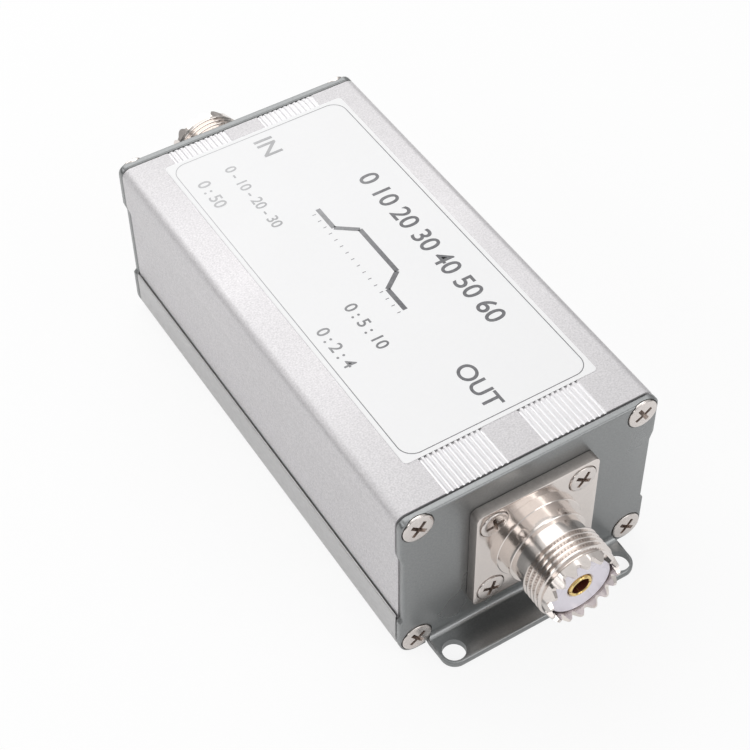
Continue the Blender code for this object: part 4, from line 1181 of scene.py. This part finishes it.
class InsertBuilder(bpy.types.Operator):
    """Model the insulators and the centre contacts"""

    bl_idname = "filter.inserts"
    bl_label = "Insulators And Contacts"

    def execute(self, context):
        insert = context.scene.filter_insert
        socket = context.scene.filter_socket
        gap = context.scene.filter_case.gap
        place_at = ((0, -plate_face(context.scene), socket.height), (QUARTER, 0, 0))
        for prefix, piece in at_both_ends(self.make_insulator(insert, socket, gap), "_insert", *place_at):
            finished(piece, "insulator_plastic", "insulator", prefix + "_insulator")
        for prefix, piece in at_both_ends(self.make_contact(insert, socket.tip), "_pin_socket", *place_at):
            finished(piece, None, "contact", prefix + "_centre_contact")
        return {"FINISHED"}

    def make_insulator(self, insert, socket, gap):
        """Insulator with a dished face and a bore for the contact."""
        bore = insert.contact + gap / 2
        rod_bore = insert.rod + gap
        step = insert.face - insert.bore_depth - 1.5 * MM
        shoulder = socket.bore_floor + gap
        dish = insert.face - insert.dish
        ease = 0.25 * MM
        return add_turned("insulator", [
            (bore, dish - ease), (bore + ease, dish), (insert.outer - 3 * ease, dish + 0.1 * MM),
            (insert.outer - ease, insert.face), (insert.outer, insert.face - ease), (insert.outer, shoulder),
            (insert.rear, shoulder), (insert.rear, insert.rear_end), (rod_bore, insert.rear_end),
            (rod_bore, step), (bore, step)], 96, closed=True)

    def make_contact(self, insert, tip):
        """Gold contact with a slit tube in front and a solder cup behind, with painted shade in its bore."""
        ease = 0.15 * MM
        bore_end = tip - insert.bore_depth
        tube_end = bore_end - 2 * MM
        cup_end = insert.contact_end + 3 * MM
        contact = add_turned("contact", [
            (0, bore_end), (insert.contact_bore, bore_end), (insert.contact_bore, tip - ease),
            (insert.contact_bore + ease, tip), (insert.contact - ease, tip), (insert.contact, tip - ease),
            (insert.contact, tube_end), (insert.rod, tube_end), (insert.rod, insert.contact_end),
            (insert.cup, insert.contact_end), (insert.cup, cup_end), (0, cup_end)], 64)
        half = insert.slit / 2
        reach = insert.contact + MM
        low = tip - insert.slit_length
        for x, y in ((half, reach), (reach, half)):
            cut(contact, add_block("slit", (-x, -y, low), (x, y, tip + MM)))
        side = 2 * insert.rod
        cut(contact, add_block("cup_opening", (-side, 0, insert.contact_end - side),
                               (side, side, insert.contact_end + 2 * MM)))
        contact.data.materials.append(bpy.data.materials["gold_plate"])
        # Painted shade: the bore inside the contact gets a dark red-brown colour.
        refinish(contact, "dark_bore", lambda spot, normal: low - MM < spot.z < tip - ease - SNUG
                 and spot.xy.length < insert.contact_bore + SNUG)
        return contact


# Label

def add_plate(name, low, high, corner, segments):
    """Flat plate with round corners."""
    plate = add_block(name, low, high)
    edit(plate)
    pick(plate, "EDGE", lambda e: runs_along(e, 2))
    bevel(corner, segments)
    return plate


class LabelBuilder(bpy.types.Operator):
    """Make the label with plain print on it"""

    bl_idname = "filter.label"
    bl_label = "Label"

    def execute(self, context):
        self.label = label = context.scene.filter_label
        low = CASE_HIGH[2] + SNUG
        self.level = low + label.thickness
        finished(self.make_sheet("label_film", 0, low, self.level, label.corner, 6), "label_film", "label", "label")
        strokes = [self.make_border(), *self.make_writing(), *self.make_passband()]
        finished(joined("label_print", strokes), "label_ink", "label")
        return {"FINISHED"}

    def make_sheet(self, name, inset, low, high, corner, segments):
        """Plate in the label's place, smaller all round by an inset."""
        label = self.label
        x, y = label.width / 2 - inset, label.length / 2 - inset
        return add_plate(name, (label.shift_x - x, label.shift_y - y, low),
                         (label.shift_x + x, label.shift_y + y, high), corner, segments)

    def make_border(self):
        """Thin printed frame with round corners."""
        label = self.label
        top = self.level + label.print_height
        outer = self.make_sheet("border", label.border_inset, self.level, top, label.border_corner, 10)
        return cut(outer, self.make_sheet("border", label.border_inset + label.line, self.level - MM, top + MM,
                                          label.border_corner - label.line, 10))

    def write(self, text, x, y, size):
        """Text that reads along the case, with its baseline at x."""
        clear_selection()
        bpy.ops.object.text_add()
        font = bpy.context.object.data
        font.body = text
        font.size = size
        font.offset = TEXT_WEIGHT * size
        font.extrude = self.label.print_height / 2
        bpy.ops.object.convert(target="MESH")
        return place(name_piece("writing"), (x, y, self.level + self.label.print_height / 2), (0, 0, -QUARTER))

    def make_writing(self):
        """Port marks and rows of plain numbers."""
        return [self.write(text, x * MM, y * MM, size * MM) for text, x, y, size in (
            ("IN", -0.7, 43.5, 5.6), ("OUT", -0.5, -27.5, 5.2), ("0 10 20 30 40 50 60", 11.2, 23.5, 5.6),
            ("0 - 10 - 20 - 30", -9.3, 39.5, 3.2), ("0 : 50", -15.8, 38.5, 3.6),
            ("0 : 5 : 10", -8.9, -4.5, 3.5), ("0 : 2 : 4", -16.2, -7.0, 3.5))]

    def stroke(self, start, end, width):
        """Straight printed line between two points."""
        start = Vector((*start, 0)) * MM
        end = Vector((*end, 0)) * MM
        span = end - start
        height = self.label.print_height / 2
        half = Vector((span.length / 2, width / 2, height))
        middle = (start + end) / 2 + Vector((0, 0, self.level + height))
        return place(add_block("stroke", -half, half), middle, (0, 0, math.atan2(span.y, span.x)))

    def make_passband(self):
        """Bold curve of a band that passes, over a row of ticks."""
        curve = [(0.3, 20.0), (0.3, 14.0), (4.2, 11.0), (4.2, -2.0), (0.3, -5.0), (0.3, -11.0)]
        lines = [self.stroke(a, b, self.label.bold_line) for a, b in zip(curve, curve[1:])]
        return lines + [self.stroke((-1.4, y), (-0.7, y), self.label.line) for y in range(-11, 21, 2)]


# Inner pieces

class InnerBuilder(bpy.types.Operator):
    """Finish the CAD pieces that show as they are"""

    bl_idname = "filter.inner_pieces"
    bl_label = "Inner Pieces"

    finishes = {"nut": "zinc_plate", "lug": "zinc_plate", "wire": "tinned_wire", "board": "green_laminate",
                "core": "iron_powder", "winding": "enamelled_copper", "capacitor": "capacitor_case"}

    def execute(self, context):
        for name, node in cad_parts.items():
            for word, finish in self.finishes.items():
                if word in name:
                    node.data.materials.clear()
                    node.data.materials.append(bpy.data.materials[finish])
        return {"FINISHED"}


class FilterPanel(bpy.types.Panel):
    """Panel with every step of the model"""

    bl_idname = "VIEW3D_PT_bandpass_filter"
    bl_label = "Bandpass Filter"
    bl_space_type = "VIEW_3D"
    bl_region_type = "UI"
    bl_category = "Filter"

    def draw(self, context):
        for builder in BUILDERS:
            self.layout.operator(builder.bl_idname)
        for group in GROUPS:
            box = self.layout.box()
            settings = getattr(context.scene, group)
            for key in settings.__annotations__:
                box.prop(settings, key)


BUILDERS = (FinishBuilder, StageBuilder, UpperCaseBuilder, LowerCaseBuilder, EndPlateBuilder, CornerScrewBuilder,
            SocketBuilder, InsertBuilder, FlangeScrewBuilder, LabelBuilder, InnerBuilder)


def register():
    """Register the settings, the builders and the panel."""
    for name, group in GROUPS.items():
        bpy.utils.register_class(group)
        setattr(bpy.types.Scene, name, bpy.props.PointerProperty(type=group))
    for builder in BUILDERS:
        bpy.utils.register_class(builder)
    bpy.utils.register_class(FilterPanel)


def unregister():
    """Remove the panel, the builders and the settings."""
    bpy.utils.unregister_class(FilterPanel)
    for builder in reversed(BUILDERS):
        bpy.utils.unregister_class(builder)
    for name, group in reversed(GROUPS.items()):
        delattr(bpy.types.Scene, name)
        bpy.utils.unregister_class(group)


def main():
    """Make everything in order."""
    register()
    for builder in BUILDERS:
        area, step = builder.bl_idname.split(".")
        getattr(getattr(bpy.ops, area), step)()
    clear_selection()


if __name__ == "__main__":
    main()
